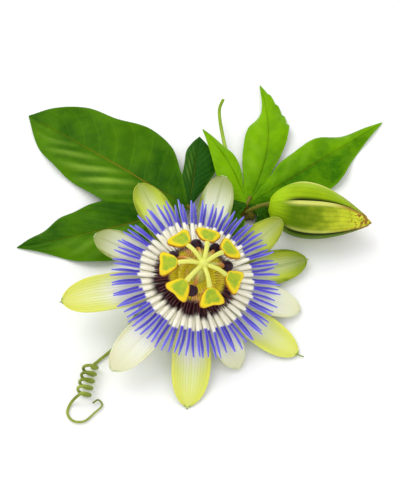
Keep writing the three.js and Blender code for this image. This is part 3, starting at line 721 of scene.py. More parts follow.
def tinted(piece, value):
    return stored(piece, TINT, [value] * len(piece.data.vertices))


def removed(piece):
    mesh = piece.data
    bpy.data.objects.remove(piece)
    bpy.data.meshes.remove(mesh)


def settled(piece, slot, *nodes):
    """Rests a finished piece on the table and lets it ride with the sprig in place of the frame's nodes."""
    for vertex in piece.data.vertices:
        vertex.co.z = max(vertex.co.z, TABLE)
    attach(piece, "root")
    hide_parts(*nodes)
    return piece


class Nodes:
    """Adds nodes to a material or a node group and joins them."""

    def __init__(self, tree):
        self.tree = tree

    def add(self, kind, inputs=None, **values):
        node = self.tree.nodes.new(kind)
        for key, value in values.items():
            setattr(node, key, value)
        for key, value in (inputs or {}).items():
            self.feed(node.inputs[key], value)
        return node

    def feed(self, socket, value):
        if isinstance(value, bpy.types.NodeSocket):
            self.tree.links.new(value, socket)
        else:
            socket.default_value = value

    def math(self, operation, first, second=0.0, clamped=False):
        inputs = {0: first, 1: second}
        return self.add("ShaderNodeMath", inputs, operation=operation, use_clamp=clamped).outputs[0]

    def times(self, first, second):
        return self.math("MULTIPLY", first, second)

    def plus(self, first, second, clamped=False):
        return self.math("ADD", first, second, clamped)

    def minus(self, first, second):
        return self.math("SUBTRACT", first, second)

    def larger(self, first, second):
        return self.math("MAXIMUM", first, second)

    def outwards(self, across):
        """From 0 on the middle line of a piece's width to 1 on both its margins."""
        return self.times(self.math("ABSOLUTE", self.minus(across, 0.5)), 2.0)

    def wander(self, scale, reach):
        """A value that wanders round 0, up to half its reach to either side."""
        return self.times(self.minus(self.noise(scale), 0.5), reach)

    def between(self, value, low, high, start=0.0, end=1.0):
        """Runs smoothly from start to end as the value goes from low to high."""
        inputs = {"Value": value, "From Min": low, "From Max": high, "To Min": start, "To Max": end}
        return self.add("ShaderNodeMapRange", inputs, interpolation_type="SMOOTHSTEP").outputs["Result"]

    def fading(self, value, low, high, start=1.0):
        """Runs smoothly from start to 0 as the value goes from low to high."""
        return self.between(value, low, high, start, 0.0)

    def mix(self, share, first, second):
        # A Mix node has a set of sockets for each kind of value. Those for colours are 6, 7 and output 2.
        node = self.add("ShaderNodeMix", data_type="RGBA")
        self.feed(node.inputs[0], share)
        self.feed(node.inputs[6], opaque(first))
        self.feed(node.inputs[7], opaque(second))
        return node.outputs[2]

    def tinge(self, base, mask, share, second):
        """Takes a base towards a second colour by a share of a mask."""
        return self.mix(self.times(mask, share), base, second)

    def noise(self, scale, detail=2.0, roughness=0.5):
        place = self.add("ShaderNodeTexCoord").outputs["Object"]
        inputs = {"Vector": place, "Scale": scale, "Detail": detail, "Roughness": roughness}
        return self.add("ShaderNodeTexNoise", inputs).outputs["Fac"]

    def held(self, name):
        """A value stored on the piece's points."""
        return self.add("ShaderNodeAttribute", attribute_name=name).outputs["Fac"]

    def along_and_across(self):
        """The two shares of the piece's own UV map."""
        place = self.add("ShaderNodeUVMap", uv_map=UV_NAME).outputs["UV"]
        parts = self.add("ShaderNodeSeparateXYZ", {"Vector": place})
        return parts.outputs["X"], parts.outputs["Y"]


def opaque(value):
    return value if isinstance(value, bpy.types.NodeSocket) else (*value, 1)


def float_socket(tree, label, in_out):
    return tree.interface.new_socket(name=label, in_out=in_out, socket_type="NodeSocketFloat")


def group_once(name, **inputs):
    """Builds a shader node group on its first use and returns the same one after that."""
    def wrapped(build):
        def get():
            tree = bpy.data.node_groups.get(name)
            if tree:
                return tree
            tree = bpy.data.node_groups.new(name, "ShaderNodeTree")
            for label, default in inputs.items():
                float_socket(tree, label, "INPUT").default_value = default
            nodes = Nodes(tree)
            made = build(nodes, nodes.add("NodeGroupInput").outputs)
            result = nodes.add("NodeGroupOutput").inputs
            for label, value in made.items():
                float_socket(tree, label, "OUTPUT")
                nodes.feed(result[label], value)
            return tree

        return get

    return wrapped


@group_once("Plant grain", Scale=200.0)
def grain_group(nodes, given):
    """Plant tissue: soft blotches of shade, and a fine skin."""
    fine = nodes.times(given["Scale"], 9.0)
    return {
        "Blotches": nodes.between(nodes.noise(given["Scale"], 3.0), *NOISE_RANGE),
        "Skin": nodes.noise(fine, 2.0, 0.6),
    }


@group_once("Blade veins", Veins=9.0, Wander=0.05)
def blade_group(nodes, given):
    """Parallel veins of a sepal, petal or bract, with masks of its margin, midrib, tip and root."""
    along, across = nodes.along_and_across()
    wander = nodes.wander(90.0, given["Wander"])
    stripe = nodes.times(nodes.plus(across, wander), nodes.times(given["Veins"], math.pi))
    wave = nodes.math("ABSOLUTE", nodes.math("SINE", stripe))
    outwards = nodes.outwards(across)
    return {
        "Veins": nodes.fading(wave, 0.0, 0.45),
        "Margin": nodes.between(outwards, 0.58, 0.96),
        "Midrib": nodes.fading(outwards, 0.0, 0.16),
        "Tip": nodes.between(along, 0.36, 0.86),
        "Root": nodes.fading(along, 0.0, 0.45),
    }


@group_once("Leaf veins", Veins=SIDE_VEINS, Slant=SIDE_VEIN_SLANT)
def leaf_group(nodes, given):
    """Midrib, side veins, fine net and margin of one leaf lobe, and its swellings between veins."""
    along, across = nodes.along_and_across()
    outwards = nodes.outwards(across)
    sweep = nodes.minus(along, nodes.times(outwards, given["Slant"]))
    count = nodes.times(nodes.plus(sweep, nodes.wander(60.0, 0.03)), given["Veins"])
    gap = nodes.math("PINGPONG", count, 0.5)
    place = nodes.add("ShaderNodeTexCoord").outputs["Object"]
    cells = nodes.add("ShaderNodeTexVoronoi", {"Vector": place, "Scale": 620.0}, feature="DISTANCE_TO_EDGE")
    inside = nodes.fading(outwards, 0.86, 1.0)
    return {
        "Side veins": nodes.times(nodes.fading(gap, 0.02, 0.09), inside),
        "Midrib": nodes.fading(outwards, 0.008, 0.032),
        "Net": nodes.fading(cells.outputs["Distance"], 0.0, 0.12),
        "Margin": nodes.between(outwards, 0.82, 1.0),
        "Swelling": nodes.between(gap, 0.0, 0.5),
    }


class Look:
    """A material under construction, with its Principled shader."""

    def __init__(self, name, roughness, **constants):
        self.material = bpy.data.materials.new(name)
        self.material.use_nodes = True
        self.nodes = Nodes(self.material.node_tree)
        self.shader = self.material.node_tree.nodes["Principled BSDF"]
        self.shader.inputs["Roughness"].default_value = roughness
        for key, value in constants.items():
            self.shader.inputs[key.replace("_", " ")].default_value = value

    def group(self, tree, **inputs):
        node = self.nodes.add("ShaderNodeGroup", node_tree=tree)
        for key, value in inputs.items():
            node.inputs[key].default_value = value
        return node.outputs

    def paint(self, base):
        self.nodes.feed(self.shader.inputs["Base Color"], opaque(base))

    def raise_surface(self, height, distance_mm, strength=1.0):
        inputs = {"Height": height, "Strength": strength, "Distance": distance_mm * MM}
        bump = self.nodes.add("ShaderNodeBump", inputs)
        self.nodes.feed(self.shader.inputs["Normal"], bump.outputs["Normal"])

    def vary_roughness(self, mask, low, high):
        self.nodes.feed(self.shader.inputs["Roughness"], self.nodes.between(mask, 0.0, 1.0, low, high))


def look_once(roughness, **constants):
    """Builds a material on its first use and returns the same one after that. Colours are given by name."""
    def wrapped(build):
        def get(*given):
            name = " ".join([build.__name__.replace("_look", ""), *given, "finish"])
            found = bpy.data.materials.get(name)
            if found:
                return found
            look = Look(name, roughness, **constants)
            build(look, look.nodes, colours(), *given)
            return look.material

        return get

    return wrapped


@look_once(0.5, Subsurface_Weight=0.15, Subsurface_Scale=0.002, Specular_IOR_Level=0.15)
def tepal_look(look, nodes, shades, kind):
    """Upper face of a sepal or petal: pale tissue, faint long veins, and greener margins and tip."""
    tone = nodes.held(TINT)
    along, across = nodes.along_and_across()
    outwards = nodes.outwards(across)
    body = nodes.mix(tone, getattr(shades, kind), getattr(shades, kind + "_green"))
    middle = nodes.fading(outwards, 0.05, 0.75, -0.45)
    coloured = nodes.plus(nodes.between(along, 0.2, 0.55), middle, clamped=True)
    body = nodes.mix(coloured, shades.petal, body)
    edge = nodes.mix(tone, getattr(shades, kind + "_edge"), getattr(shades, kind + "_edge_green"))
    vein = getattr(shades, kind + "_vein")
    blade = look.group(blade_group(), Veins=13.0)
    grain = look.group(grain_group(), Scale=160.0)
    rim = nodes.times(blade["Margin"], nodes.between(grain["Blotches"], 0.0, 1.0, 0.65, 1.0))
    ends = nodes.larger(nodes.times(blade["Tip"], 0.78), rim)
    base = nodes.tinge(body, blade["Veins"], 0.36, vein)
    base = nodes.tinge(base, blade["Root"], 0.15, vein)
    base = nodes.tinge(base, blade["Midrib"], 0.3, edge)
    look.paint(nodes.mix(ends, base, edge))
    look.vary_roughness(grain["Blotches"], 0.42, 0.6)
    veins = nodes.times(blade["Veins"], 0.5)
    look.raise_surface(nodes.minus(nodes.times(grain["Skin"], 0.25), veins), 0.18)


@look_once(0.5)
def tepal_back_look(look, nodes, shades, body, light):
    """Underside of a sepal or a bract: greener, with ribs along it."""
    body, light = getattr(shades, body), getattr(shades, light)
    blade = look.group(blade_group(), Veins=11.0)
    grain = look.group(grain_group(), Scale=220.0)
    base = nodes.tinge(body, blade["Veins"], 0.5, light)
    look.paint(nodes.tinge(base, grain["Blotches"], 0.3, light))
    look.vary_roughness(grain["Blotches"], 0.4, 0.6)
    look.raise_surface(nodes.plus(nodes.times(blade["Veins"], 0.6), grain["Skin"]), 0.15)


def uv_of_share(share):
    """Where a share of a filament's length lies along its UV map, whose ends are taken up by the caps."""
    return (share * (FILAMENT_STEPS - 2) + 1) / FILAMENT_STEPS


@look_once(0.42)
def filament_look(look, nodes, shades):
    """Outer filaments, banded dark, cream and violet out to pale tips. Violet flanks carry a painted
    highlight.
    """
    along, across = nodes.along_and_across()
    shade = nodes.held(TINT)
    cream, violet = (
        uv_of_share((radius - UPPER_RANK[0][0]) / (CROWN_RADIUS - UPPER_RANK[0][0]))
        for radius in (CREAM_FROM, VIOLET_FROM)
    )
    grain = look.group(grain_group(), Scale=500.0)
    uneven = nodes.minus(shade, 0.5)
    inner = nodes.plus(along, nodes.times(uneven, 0.12))
    inner = nodes.plus(inner, nodes.times(nodes.held(PALE), 0.13))
    past_root = nodes.between(inner, cream - 0.06, cream + 0.05)
    base = nodes.mix(past_root, shades.filament_root, shades.filament_middle)
    outer = nodes.between(along, violet + 0.08, 1.0)
    blue = nodes.mix(nodes.between(shade, 0.3, 1.0, 0.0, 0.3), shades.filament_outer, shades.filament_tip)
    blue = nodes.mix(outer, blue, shades.filament_tip)
    # Painted highlight: both flanks of each violet filament are paler, as if they caught the light
    highlight_sides = nodes.math("ABSOLUTE", nodes.math("COSINE", nodes.times(across, 2 * math.pi)))
    blue = nodes.mix(nodes.between(highlight_sides, 0.6, 1.0, 0.0, 0.6), blue, shades.filament_side)
    edge = nodes.minus(along, nodes.times(uneven, 0.05))
    look.paint(nodes.mix(nodes.between(edge, violet - 0.015, violet + 0.02), base, blue))
    look.vary_roughness(grain["Blotches"], 0.35, 0.55)
    look.raise_surface(grain["Skin"], 0.08)


@look_once(0.35)
def inner_crown_look(look, nodes, shades):
    """Dark spikes that rise from a disc of green and peach round the column."""
    along, _ = nodes.along_and_across()
    grain = look.group(grain_group(), Scale=260.0)
    on_disc = nodes.held(TINT)
    dark = nodes.tinge(shades.inner_crown, grain["Blotches"], 0.25, shades.speckle)
    flesh = nodes.mix(nodes.between(nodes.noise(170.0, 1.0), 0.5, 0.64), shades.disc, shades.disc_blush)
    darkening = nodes.between(nodes.minus(along, on_disc), 0.38, 0.56)
    pale = nodes.times(nodes.held(PALE), nodes.between(along, 0.56, 0.7))
    dark = nodes.mix(pale, dark, shades.filament_middle)
    look.paint(nodes.mix(darkening, flesh, dark))
    look.vary_roughness(grain["Blotches"], 0.25, 0.45)
    look.raise_surface(grain["Skin"], 0.1)


@look_once(0.35, Coat_Weight=0.15)
def column_look(look, nodes, shades):
    """Waxy column with dark specks, denser towards its foot."""
    along, _ = nodes.along_and_across()
    specks = nodes.between(nodes.noise(1500.0, 1.0), 0.62, 0.68)
    low = nodes.fading(along, 0.25, 0.75, 0.8)
    body = nodes.mix(nodes.between(along, 0.6, 0.8), shades.column, shades.arm)
    look.paint(nodes.mix(nodes.times(specks, low), body, shades.speckle))
    look.raise_surface(nodes.noise(900.0), 0.08)


@look_once(0.4)
def arm_look(look, nodes, shades):
    """Pale yellow-green arms of the stamens."""
    grain = look.group(grain_group(), Scale=350.0)
    look.paint(nodes.tinge(shades.arm, grain["Blotches"], 0.35, shades.column))
    look.raise_surface(grain["Skin"], 0.08)


@look_once(0.75)
def anther_look(look, nodes, shades):
    """Powdery yellow rim round a green middle, with painted shade on the flanks and underside."""
    ring, turn = nodes.along_and_across()
    grain = look.group(grain_group(), Scale=500.0)
    ragged = nodes.wander(700.0, 0.16)
    outwards = nodes.math("COSINE", nodes.times(turn, 2 * math.pi))
    inwards = nodes.fading(outwards, -1.0, -0.45, -0.12)
    rim = nodes.between(nodes.plus(nodes.plus(ring, inwards), ragged), 0.24, 0.37)
    middle = nodes.tinge(shades.anther_middle, grain["Blotches"], 0.6, shades.anther_patch)
    base = nodes.mix(rim, middle, shades.anther)
    # Painted shade: the rim's flanks and underside turn brown-orange
    look.paint(nodes.mix(nodes.between(ring, 0.47, 0.62), base, shades.anther_shade))
    look.vary_roughness(grain["Blotches"], 0.6, 0.85)
    look.raise_surface(nodes.noise(2600.0, 2.0, 0.7), 0.35)


@look_once(0.4)
def style_look(look, nodes, shades):
    """Styles that darken towards their stigma."""
    along, _ = nodes.along_and_across()
    grain = look.group(grain_group(), Scale=420.0)
    base = nodes.mix(nodes.between(along, 0.25, 0.7), shades.column, shades.style)
    look.paint(nodes.mix(nodes.times(nodes.between(along, 0.8, 1.0), grain["Blotches"]), base, shades.stigma))
    look.raise_surface(grain["Skin"], 0.1)


@look_once(0.3, Specular_IOR_Level=0.3)
def stigma_look(look, nodes, shades):
    """Dark knobbly stigma with a moist gloss, and painted sheen in random patches."""
    grain = look.group(grain_group(), Scale=900.0)
    # Painted sheen: random light patches on the dark stigma
    look.paint(nodes.tinge(shades.stigma, grain["Blotches"], 0.3, shades.stigma_bloom))
    look.vary_roughness(grain["Blotches"], 0.2, 0.45)
    look.raise_surface(nodes.noise(1800.0), 0.3)


@look_once(0.42, Specular_IOR_Level=0.08)
def bud_look(look, nodes, shades, inner, outer):
    """Closed sepals: long veins, pale rolled lips by painted seam shadows, a light base and dry speckled
    tips.
    """
    inner, outer = getattr(shades, inner), getattr(shades, outer)
    blade = look.group(blade_group(), Veins=9.0, Wander=0.08)
    grain = look.group(grain_group(), Scale=110.0)
    along, _ = nodes.along_and_across()
    # The tint is positive on the lips, pale and partly a painted highlight, and negative in the painted
    # shadow by a tucked margin
    seam = nodes.held(TINT)
    patchy = nodes.plus(along, nodes.between(nodes.noise(260.0, 3.0), *NOISE_RANGE, -0.08, 0.08))
    base = nodes.mix(nodes.between(patchy, 0.28, 0.92), inner, outer)
    base = nodes.tinge(base, grain["Blotches"], 0.35, shades.bud_shade)
    base = nodes.tinge(base, blade["Veins"], 0.2, shades.bud_shade)
    base = nodes.mix(nodes.fading(along, 0.04, 0.26, 0.85), base, shades.bud_base)
    # Pale lips, partly a painted highlight, browning towards the tip
    lip = nodes.mix(nodes.between(along, 0.55, 0.8), shades.bud_lip, shades.bud_tip)
    base = nodes.mix(nodes.between(seam, 0.05, 0.95), base, lip)
    # Painted shadow in the strip beside and under each tucked margin
    base = nodes.mix(nodes.fading(seam, -0.85, -0.1), base, shades.bud_seam)
    speckles = nodes.between(nodes.noise(900.0, 3.0), 0.4, 0.7, -0.5, 0.3)
    dry = nodes.plus(nodes.between(along, 0.62, 1.0), speckles)
    look.paint(nodes.mix(nodes.between(dry, 0.35, 0.9), base, shades.bud_tip))
    look.vary_roughness(grain["Blotches"], 0.35, 0.55)
    height = nodes.plus(nodes.times(blade["Veins"], -0.6), nodes.times(grain["Skin"], 0.3))
    look.raise_surface(height, 0.2)


@look_once(0.35, Specular_IOR_Level=0.04)
def leaf_look(look, nodes, shades, body, light, rib):
    """Upper face of a leaf: glossy green, paler side veins, swellings between them and a coloured midrib."""
    body, light, rib = (getattr(shades, key) for key in (body, light, rib))
    leaf = look.group(leaf_group())
    along, across = nodes.along_and_across()
    shade = nodes.held(TINT)
    grain = look.group(grain_group(), Scale=45.0)
    patches_and_painted_light = nodes.times(grain["Blotches"], nodes.between(along, 0.1, 0.9, 0.25, 0.8))
    mottle = nodes.between(nodes.noise(170.0, 3.0), *NOISE_RANGE, -0.12, 0.2)
    # Painted light: the half of each lobe towards its left margin is lighter, as if it faced the light
    patches_and_painted_light = nodes.plus(patches_and_painted_light, nodes.between(across, 0.46, 0.6, 0.0, 0.25))
    patches_and_painted_light = nodes.plus(patches_and_painted_light, mottle, clamped=True)
    base = nodes.mix(patches_and_painted_light, body, light)
    # Lobe shade: lighter lobes go towards the light green, the darkest towards the dark colour, which is
    # painted shadow on the lobes under the bloom and bud
    base = nodes.mix(nodes.fading(shade, -1.0, 0.0), base, light)
    base = nodes.mix(nodes.between(shade, 0.0, 1.0, 0.0, 0.85), base, shades.leaf_shade)
    # Painted highlight on the crests of the broad swellings
    crest = nodes.math("POWER", nodes.held(SWELL), 1.6)
    base = nodes.tinge(base, crest, 0.8, shades.leaf_gloss)
    base = nodes.tinge(base, leaf["Net"], 0.1, light)
    base = nodes.tinge(base, leaf["Side veins"], 0.07, shades.leaf_vein)
    base = nodes.tinge(base, leaf["Margin"], 0.45, light)
    look.paint(nodes.mix(nodes.times(leaf["Midrib"], nodes.between(along, 0.1, 0.8, 0.85, 0.2)), base, rib))
    look.vary_roughness(grain["Skin"], 0.3, 0.46)
    height = nodes.minus(nodes.times(leaf["Swelling"], 0.5), nodes.times(leaf["Net"], 0.15))
    look.raise_surface(nodes.minus(height, leaf["Midrib"]), 0.2)


@look_once(0.6)
def leaf_back_look(look, nodes, shades):
    """Underside of a leaf: paler and duller, with its veins raised."""
    leaf = look.group(leaf_group())
    grain = look.group(grain_group(), Scale=60.0)
    base = nodes.tinge(shades.leaf_back, grain["Blotches"], 0.3, shades.leaf_vein)
    look.paint(nodes.mix(nodes.larger(leaf["Side veins"], leaf["Midrib"]), base, shades.leaf_vein))
    look.vary_roughness(grain["Skin"], 0.5, 0.7)
    look.raise_surface(nodes.larger(leaf["Side veins"], leaf["Midrib"]), 0.3)


@look_once(0.45, Specular_IOR_Level=0.2)
def stem_look(look, nodes, shades, body, dark, *ends):
    """Stalks, vine and tendrils: two shades in long streaks, with a ribbed skin."""
    body, dark = getattr(shades, body), getattr(shades, dark)
    along, across = nodes.along_and_across()
    grain = look.group(grain_group(), Scale=130.0)
    streak = nodes.math("ABSOLUTE", nodes.math("SINE", nodes.times(across, 5 * math.pi)))
    base = nodes.tinge(body, grain["Blotches"], 0.75, dark)
    base = nodes.tinge(base, streak, 0.2, dark)
    if ends:
        cut = nodes.larger(nodes.fading(along, 0.0, 0.012), nodes.between(along, 0.988, 1.0))
        base = nodes.mix(cut, base, getattr(shades, ends[0]))
    look.paint(base)
    look.vary_roughness(grain["Blotches"], 0.36, 0.56)
    look.raise_surface(nodes.plus(nodes.times(streak, 0.6), nodes.times(grain["Skin"], 0.4)), 0.15)


@look_once(0.85)
def floor_look(look, nodes, shades):
    """Plain matte table top."""
    look.paint(shades.floor)
    look.vary_roughness(nodes.noise(30.0), 0.8, 0.9)


def tepal_rib(form):
    """The middle line of a sepal or petal as a function of the share of the way out."""
    first_bend, second_bend = (lerp(TEPAL_START, form.reach, bend) for bend in TEPAL_BENDS)
    corners = (
        Vector((TEPAL_START, 0, form.root)),
        Vector((first_bend, 0, lerp(form.root, form.shoulder, TEPAL_RISE))),
        Vector((second_bend, 0, form.shoulder)),
        Vector((form.reach, 0, form.tip)),
    )

    def at(share):
        rest = 1 - share
        weights = (rest ** 3, 3 * rest ** 2 * share, 3 * rest * share ** 2, share ** 3)
        return sum((corner * weight for corner, weight in zip(corners, weights)), Vector((0, 0, 0)))

    return at


def tepal_width_share(share):
    widening = min(share, TEPAL_WIDEST) / TEPAL_WIDEST
    narrowing = max(0, share - TEPAL_WIDEST) / (1 - TEPAL_WIDEST)
    rounding = math.sqrt(max(0, 1 - narrowing ** TEPAL_BLUNTNESS))
    return lerp(TEPAL_ROOT_SHARE, 1, math.sin(widening * math.pi / 2)) * rounding


def tepal(name, form, seed, upper, under, horn=None):
    """A blade with cupped, slightly rippled margins and a groove; a sepal also has a keel and a horn."""
    rib = tepal_rib(form)
    draw = random.Random(seed)
    phase = draw.uniform(0, 2 * math.pi)
    crook = draw.uniform(-TEPAL_CROOK, TEPAL_CROOK)

    def place(u, v):
        share = 1 - (1 - u) ** TEPAL_TIP_CROWDING
        across = 2 * v - 1
        centre = rib(share)
        hump = math.sin(math.pi * share)
        half = form.width / 2 * tepal_width_share(share)
        lift = form.cupping * (math.sin(math.pi * min(1, share + CUPPING_AHEAD)) + CUPPING_GAIN * share)
        ripple = RIPPLE_HEIGHT * math.sin(RIPPLE_RATE * share + phase + 2 * across) * abs(across) ** 3 * hump
        groove = -GROOVE_DEPTH * math.exp(-(across / GROOVE_WIDTH) ** 2)
        groove *= math.sin(math.pi * min(1, share + GROOVE_AHEAD))
        return Vector((
            centre.x - MARGIN_RETREAT * across ** 2 * share,
            half * across + crook * share ** 2 * hump,
            centre.z + min(lift, half * STEEPEST_CUP) * across ** 2 + ripple + groove,
        ))

    blade = tinted(welded(shaped_grid(name, columns=26, rows=14, place=place), closed=False), form.tone)
    dressed(blade, upper, under)
    thickened(blade, settings().tepal_thickness, back=1)
    parts = [blade]
    if horn is not None:
        under_rib = Vector((0, 0, -KEEL_DROP))
        line = [place(1 - (1 - share) ** (1 / TEPAL_TIP_CROWDING), 0.5) + under_rib for share in KEEL_SHARES]
        end = Vector((form.reach, 0, form.tip))
        line += [end + HORN_ROOT, end + Vector((horn, 0, HORN_RISE * horn - HORN_DROP))]

        def thickness(along, turn):
            return KEEL_RADIUS * (1 - KEEL_TAPER * along ** 3)

        keel = tube(name, Route(line), steps=22, sides=8, radius=thickness)
        dressed(keel, under, under)
        parts.append(keel)
    piece = joined(name, parts)
    moved(piece, TO_SPRIG @ turned(form.angle))
    return smoothed(piece)


class SPRIG_OT_tepals(bpy.types.Operator):
    """Models the five petals and six sepals of the open bloom"""

    bl_idname = "sprig.tepals"
    bl_label = "Petals and sepals"

    def execute(self, context):
        petal_upper = tepal_look("petal")
        petal_under = tepal_back_look("petal_vein", "petal")
        for i, form in enumerate(PETALS, 1):
            piece = tepal(f"petal_{i}_blade", form, i, petal_upper, petal_under)
            settled(piece, "petal", f"petal_{i}")
        sepal_upper = tepal_look("sepal")
        sepal_under = tepal_back_look("sepal_back", "sepal_vein")
        for i, (form, horn) in enumerate(zip(SEPALS, SEPAL_HORNS), 1):
            piece = tepal(f"sepal_{i}_blade", form, SEPAL_SEED + i, sepal_upper, sepal_under, horn)
            settled(piece, "sepal", f"sepal_{i}")
        return {"FINISHED"}


def filament_share(share):
    """A filament's radius along it: thickest where the crown is cream, and drawn out to a fine tip."""
    radius = 1
    for start, end, before, after in FILAMENT_SWELLINGS:
        radius *= lerp(before, after, smoothstep(start, end, share))
    return radius


def rank(name, path, count, radius, draw, offset, wobble):
    """One rank of tapered filaments round the bloom's axis, each a little uneven."""
    def thickness(share, turn):
        return radius * filament_share(share)

    model = tube(name, profile_route(path), FILAMENT_STEPS, FILAMENT_SIDES, thickness)
    nature = [
        (
            LONGEST_FILAMENT - FILAMENT_UNEVENNESS * draw.random(),
            draw.uniform(-1, 1),
            draw.uniform(-1, 1),
            draw.uniform(0, 2 * math.pi),
            draw.random(),
        )
        for _ in range(count)
    ]
    inner, outer = path[0][0], path[-1][0]
    snaking, rate = FILAMENT_WANDER

    def reshape(i, point):
        stretch, aside, rise, phase, _ = nature[i]
        share = max(0, (point.x - inner) / (outer - inner))
        bent = Vector((
            inner + (point.x - inner) * stretch,
            point.y + wobble * (aside * share ** 3 + snaking * share * math.sin(rate * share + phase)),
            point.z + wobble * FILAMENT_LIFT * rise * share ** 2,
        ))
        return turned(360 * (i + offset) / count) @ bent

    made = copies(model, count, reshape)
    for i, (copy, (*_, shade)) in enumerate(zip(made, nature)):
        tinted(copy, shade)
        pale = smoothstep(*PALE_RANGE, math.cos(math.radians(360 * (i + offset) / count) - PALE_SIDE))
        stored(copy, PALE, [pale] * len(copy.data.vertices))
    removed(model)
    return made


class SPRIG_OT_crown(bpy.types.Operator):
    """Models the crown's two ranks of outer filaments, the nectar disc and its dark inner spikes"""

    bl_idname = "sprig.crown"
    bl_label = "Crown"

    def execute(self, context):
        sizes = settings()
        draw = random.Random(CROWN_SEED)
        radius = mm(sizes.filament_radius)
        ring = tinted(lathed("ring", RING_PROFILE, steps=20, sides=64), 0)
        upper = rank("filament", UPPER_RANK, sizes.filaments, radius, draw, offset=0, wobble=0.7)
        lower = rank("filament", LOWER_RANK, sizes.filaments, radius, draw, offset=0.5, wobble=0.9)
        outer = dressed(joined("crown_outer_filaments", [ring, *upper, *lower]), filament_look())
        settled(smoothed(moved(outer, TO_SPRIG)), "filament", "corona_outer")
        spike = mm(sizes.spike_radius)
        disc = tinted(lathed("disc", DISC_PROFILE, steps=30, sides=48), 1)
        spikes = rank("spike", SPIKE_PATH, sizes.spikes, spike, draw, offset=0, wobble=0.5)
        hairs = rank("hair", HAIR_PATH, sizes.spikes // 2, spike, draw, offset=0.25, wobble=0.4)
        parts = [disc, *(tinted(each, 0) for each in spikes), *(tinted(each, 1) for each in hairs)]
        inner = dressed(joined("crown_inner_spikes", parts), inner_crown_look())
        settled(smoothed(moved(inner, TO_SPRIG)), "inner_crown", "corona_inner")
        return {"FINISHED"}


def anther_point(u, v):
    """A fan-shaped pad with drooping wings: u runs from its top's middle over the rim to its underside."""
    turn = 2 * math.pi * v
    along = math.copysign(abs(math.cos(turn)) ** ANTHER_SQUARENESS, math.cos(turn))
    across = math.copysign(abs(math.sin(turn)) ** ANTHER_SQUARENESS, math.sin(turn))
    half_thickness = mm(settings().anther_thickness) / 2
    if u < ANTHER_TOP_SHARE:
        out = u / ANTHER_TOP_SHARE
        spread = ANTHER_TOP_REACH * out
        height = half_thickness * lerp(ANTHER_HOLLOW, 1, smoothstep(ANTHER_HOLLOW_REACH, 1, out))
    else:
        roll = (u - ANTHER_TOP_SHARE) / (1 - ANTHER_TOP_SHARE) * math.pi
        spread = lerp(ANTHER_TOP_REACH, 1, math.sin(roll)) if roll < math.pi / 2 else math.sin(roll)
        height = half_thickness * math.cos(roll)
    along *= spread
    across *= spread
    heading = (ANTHER_OUTER - ANTHER_INNER).normalized()
    upright = Vector((-heading.z, 0, heading.x))
    length_share = (along + 1) / 2
    half = lerp(*ANTHER_HALF_WIDTHS, length_share ** ANTHER_FLARE)
    middle = ANTHER_INNER.lerp(ANTHER_OUTER, length_share)
    notch = -ANTHER_NOTCH * max(0, along) * (1 - abs(across)) ** 2
    height -= ANTHER_DROOP * across ** 2
    return middle + heading * notch + upright * height + Vector((0, half * across, 0))


def stamen(name, angle, seed):
    """An arm, a little flat and widening outwards, with its anther."""
    radius = mm(settings().arm_radius)

    def thickness(share, turn):
        width = lerp(*ARM_WIDTHS, smoothstep(ARM_WIDENS_FROM, 1, share))
        return radius * width * (1 - ARM_FLATNESS * abs(math.sin(turn)))

    arm = dressed(tube(name, profile_route(ARM_PATH), steps=18, sides=12, radius=thickness), arm_look())
    pad = welded(shaped_grid(name, columns=22, rows=40, place=anther_point))
    for vertex in pad.data.vertices:
        lumps = noise.noise_vector(vertex.co * LUMPS_PER_METRE + Vector((seed, 0, 0)))
        vertex.co += lumps * ANTHER_LUMPS * MM
    dressed(pad, anther_look())
    piece = joined(name, [arm, pad])
    return smoothed(moved(piece, TO_SPRIG @ turned(angle)))


def style(name, angle, reach, seed):
    """A style that arches out below the arms and ends in a kidney-shaped stigma."""
    sizes = settings()
    radius = mm(sizes.style_radius)

    def thickness(share, turn):
        return radius * (1 + STYLE_WIDENING * share ** 2)

    path = [*STYLE_START, *((reach - back, height) for back, height in STYLE_BEND)]
    stem = tube(name, profile_route(path), steps=18, sides=12, radius=thickness)
    dressed(stem, style_look())
    place = Vector((reach, 0, STIGMA_HEIGHT)) * MM
    knob_radius = sizes.stigma_radius
    bpy.ops.mesh.primitive_uv_sphere_add(segments=24, ring_count=14, radius=knob_radius, location=(0, 0, 0))
    knob = bpy.context.object
    for vertex in knob.data.vertices:
        point = vertex.co.copy()
        dent = 1 - STIGMA_DENT * math.exp(-(point.x / (STIGMA_DENT_WIDTH * knob_radius)) ** 2) * (point.z > 0)
        bumps = noise.noise(point * LUMPS_PER_METRE + Vector((seed, 0, 0))) * STIGMA_LUMPS * MM
        dented = Vector((point.x, point.y, point.z * dent * STIGMA_FLATNESS))
        vertex.co = dented + point.normalized() * bumps + place
    dressed(knob, stigma_look())
    piece = joined(name, [stem, knob])
    return smoothed(moved(piece, TO_SPRIG @ turned(angle)))


class SPRIG_OT_centre(bpy.types.Operator):
    """Models the column with its ovary, the seven stamens and the five styles"""

    bl_idname = "sprig.centre"
    bl_label = "Column, stamens and styles"

    def execute(self, context):
        # noise_vector draws its offsets from the clock until it is given a seed.
        noise.seed_set(LUMP_SEED)
        column = dressed(lathed("column_and_ovary", COLUMN_PROFILE, steps=40, sides=28), column_look())
        settled(smoothed(moved(column, TO_SPRIG)), "column", "column")
        for i, angle in enumerate(STAMEN_ANGLES, 1):
            settled(stamen(f"stamen_{i}_arm_and_anther", angle, i), "stamen", f"stamen_{i}")
        for i, (angle, reach) in enumerate(STYLES, 1):
            settled(style(f"style_{i}_and_stigma", angle, reach, i), "style", f"style_{i}")
        return {"FINISHED"}


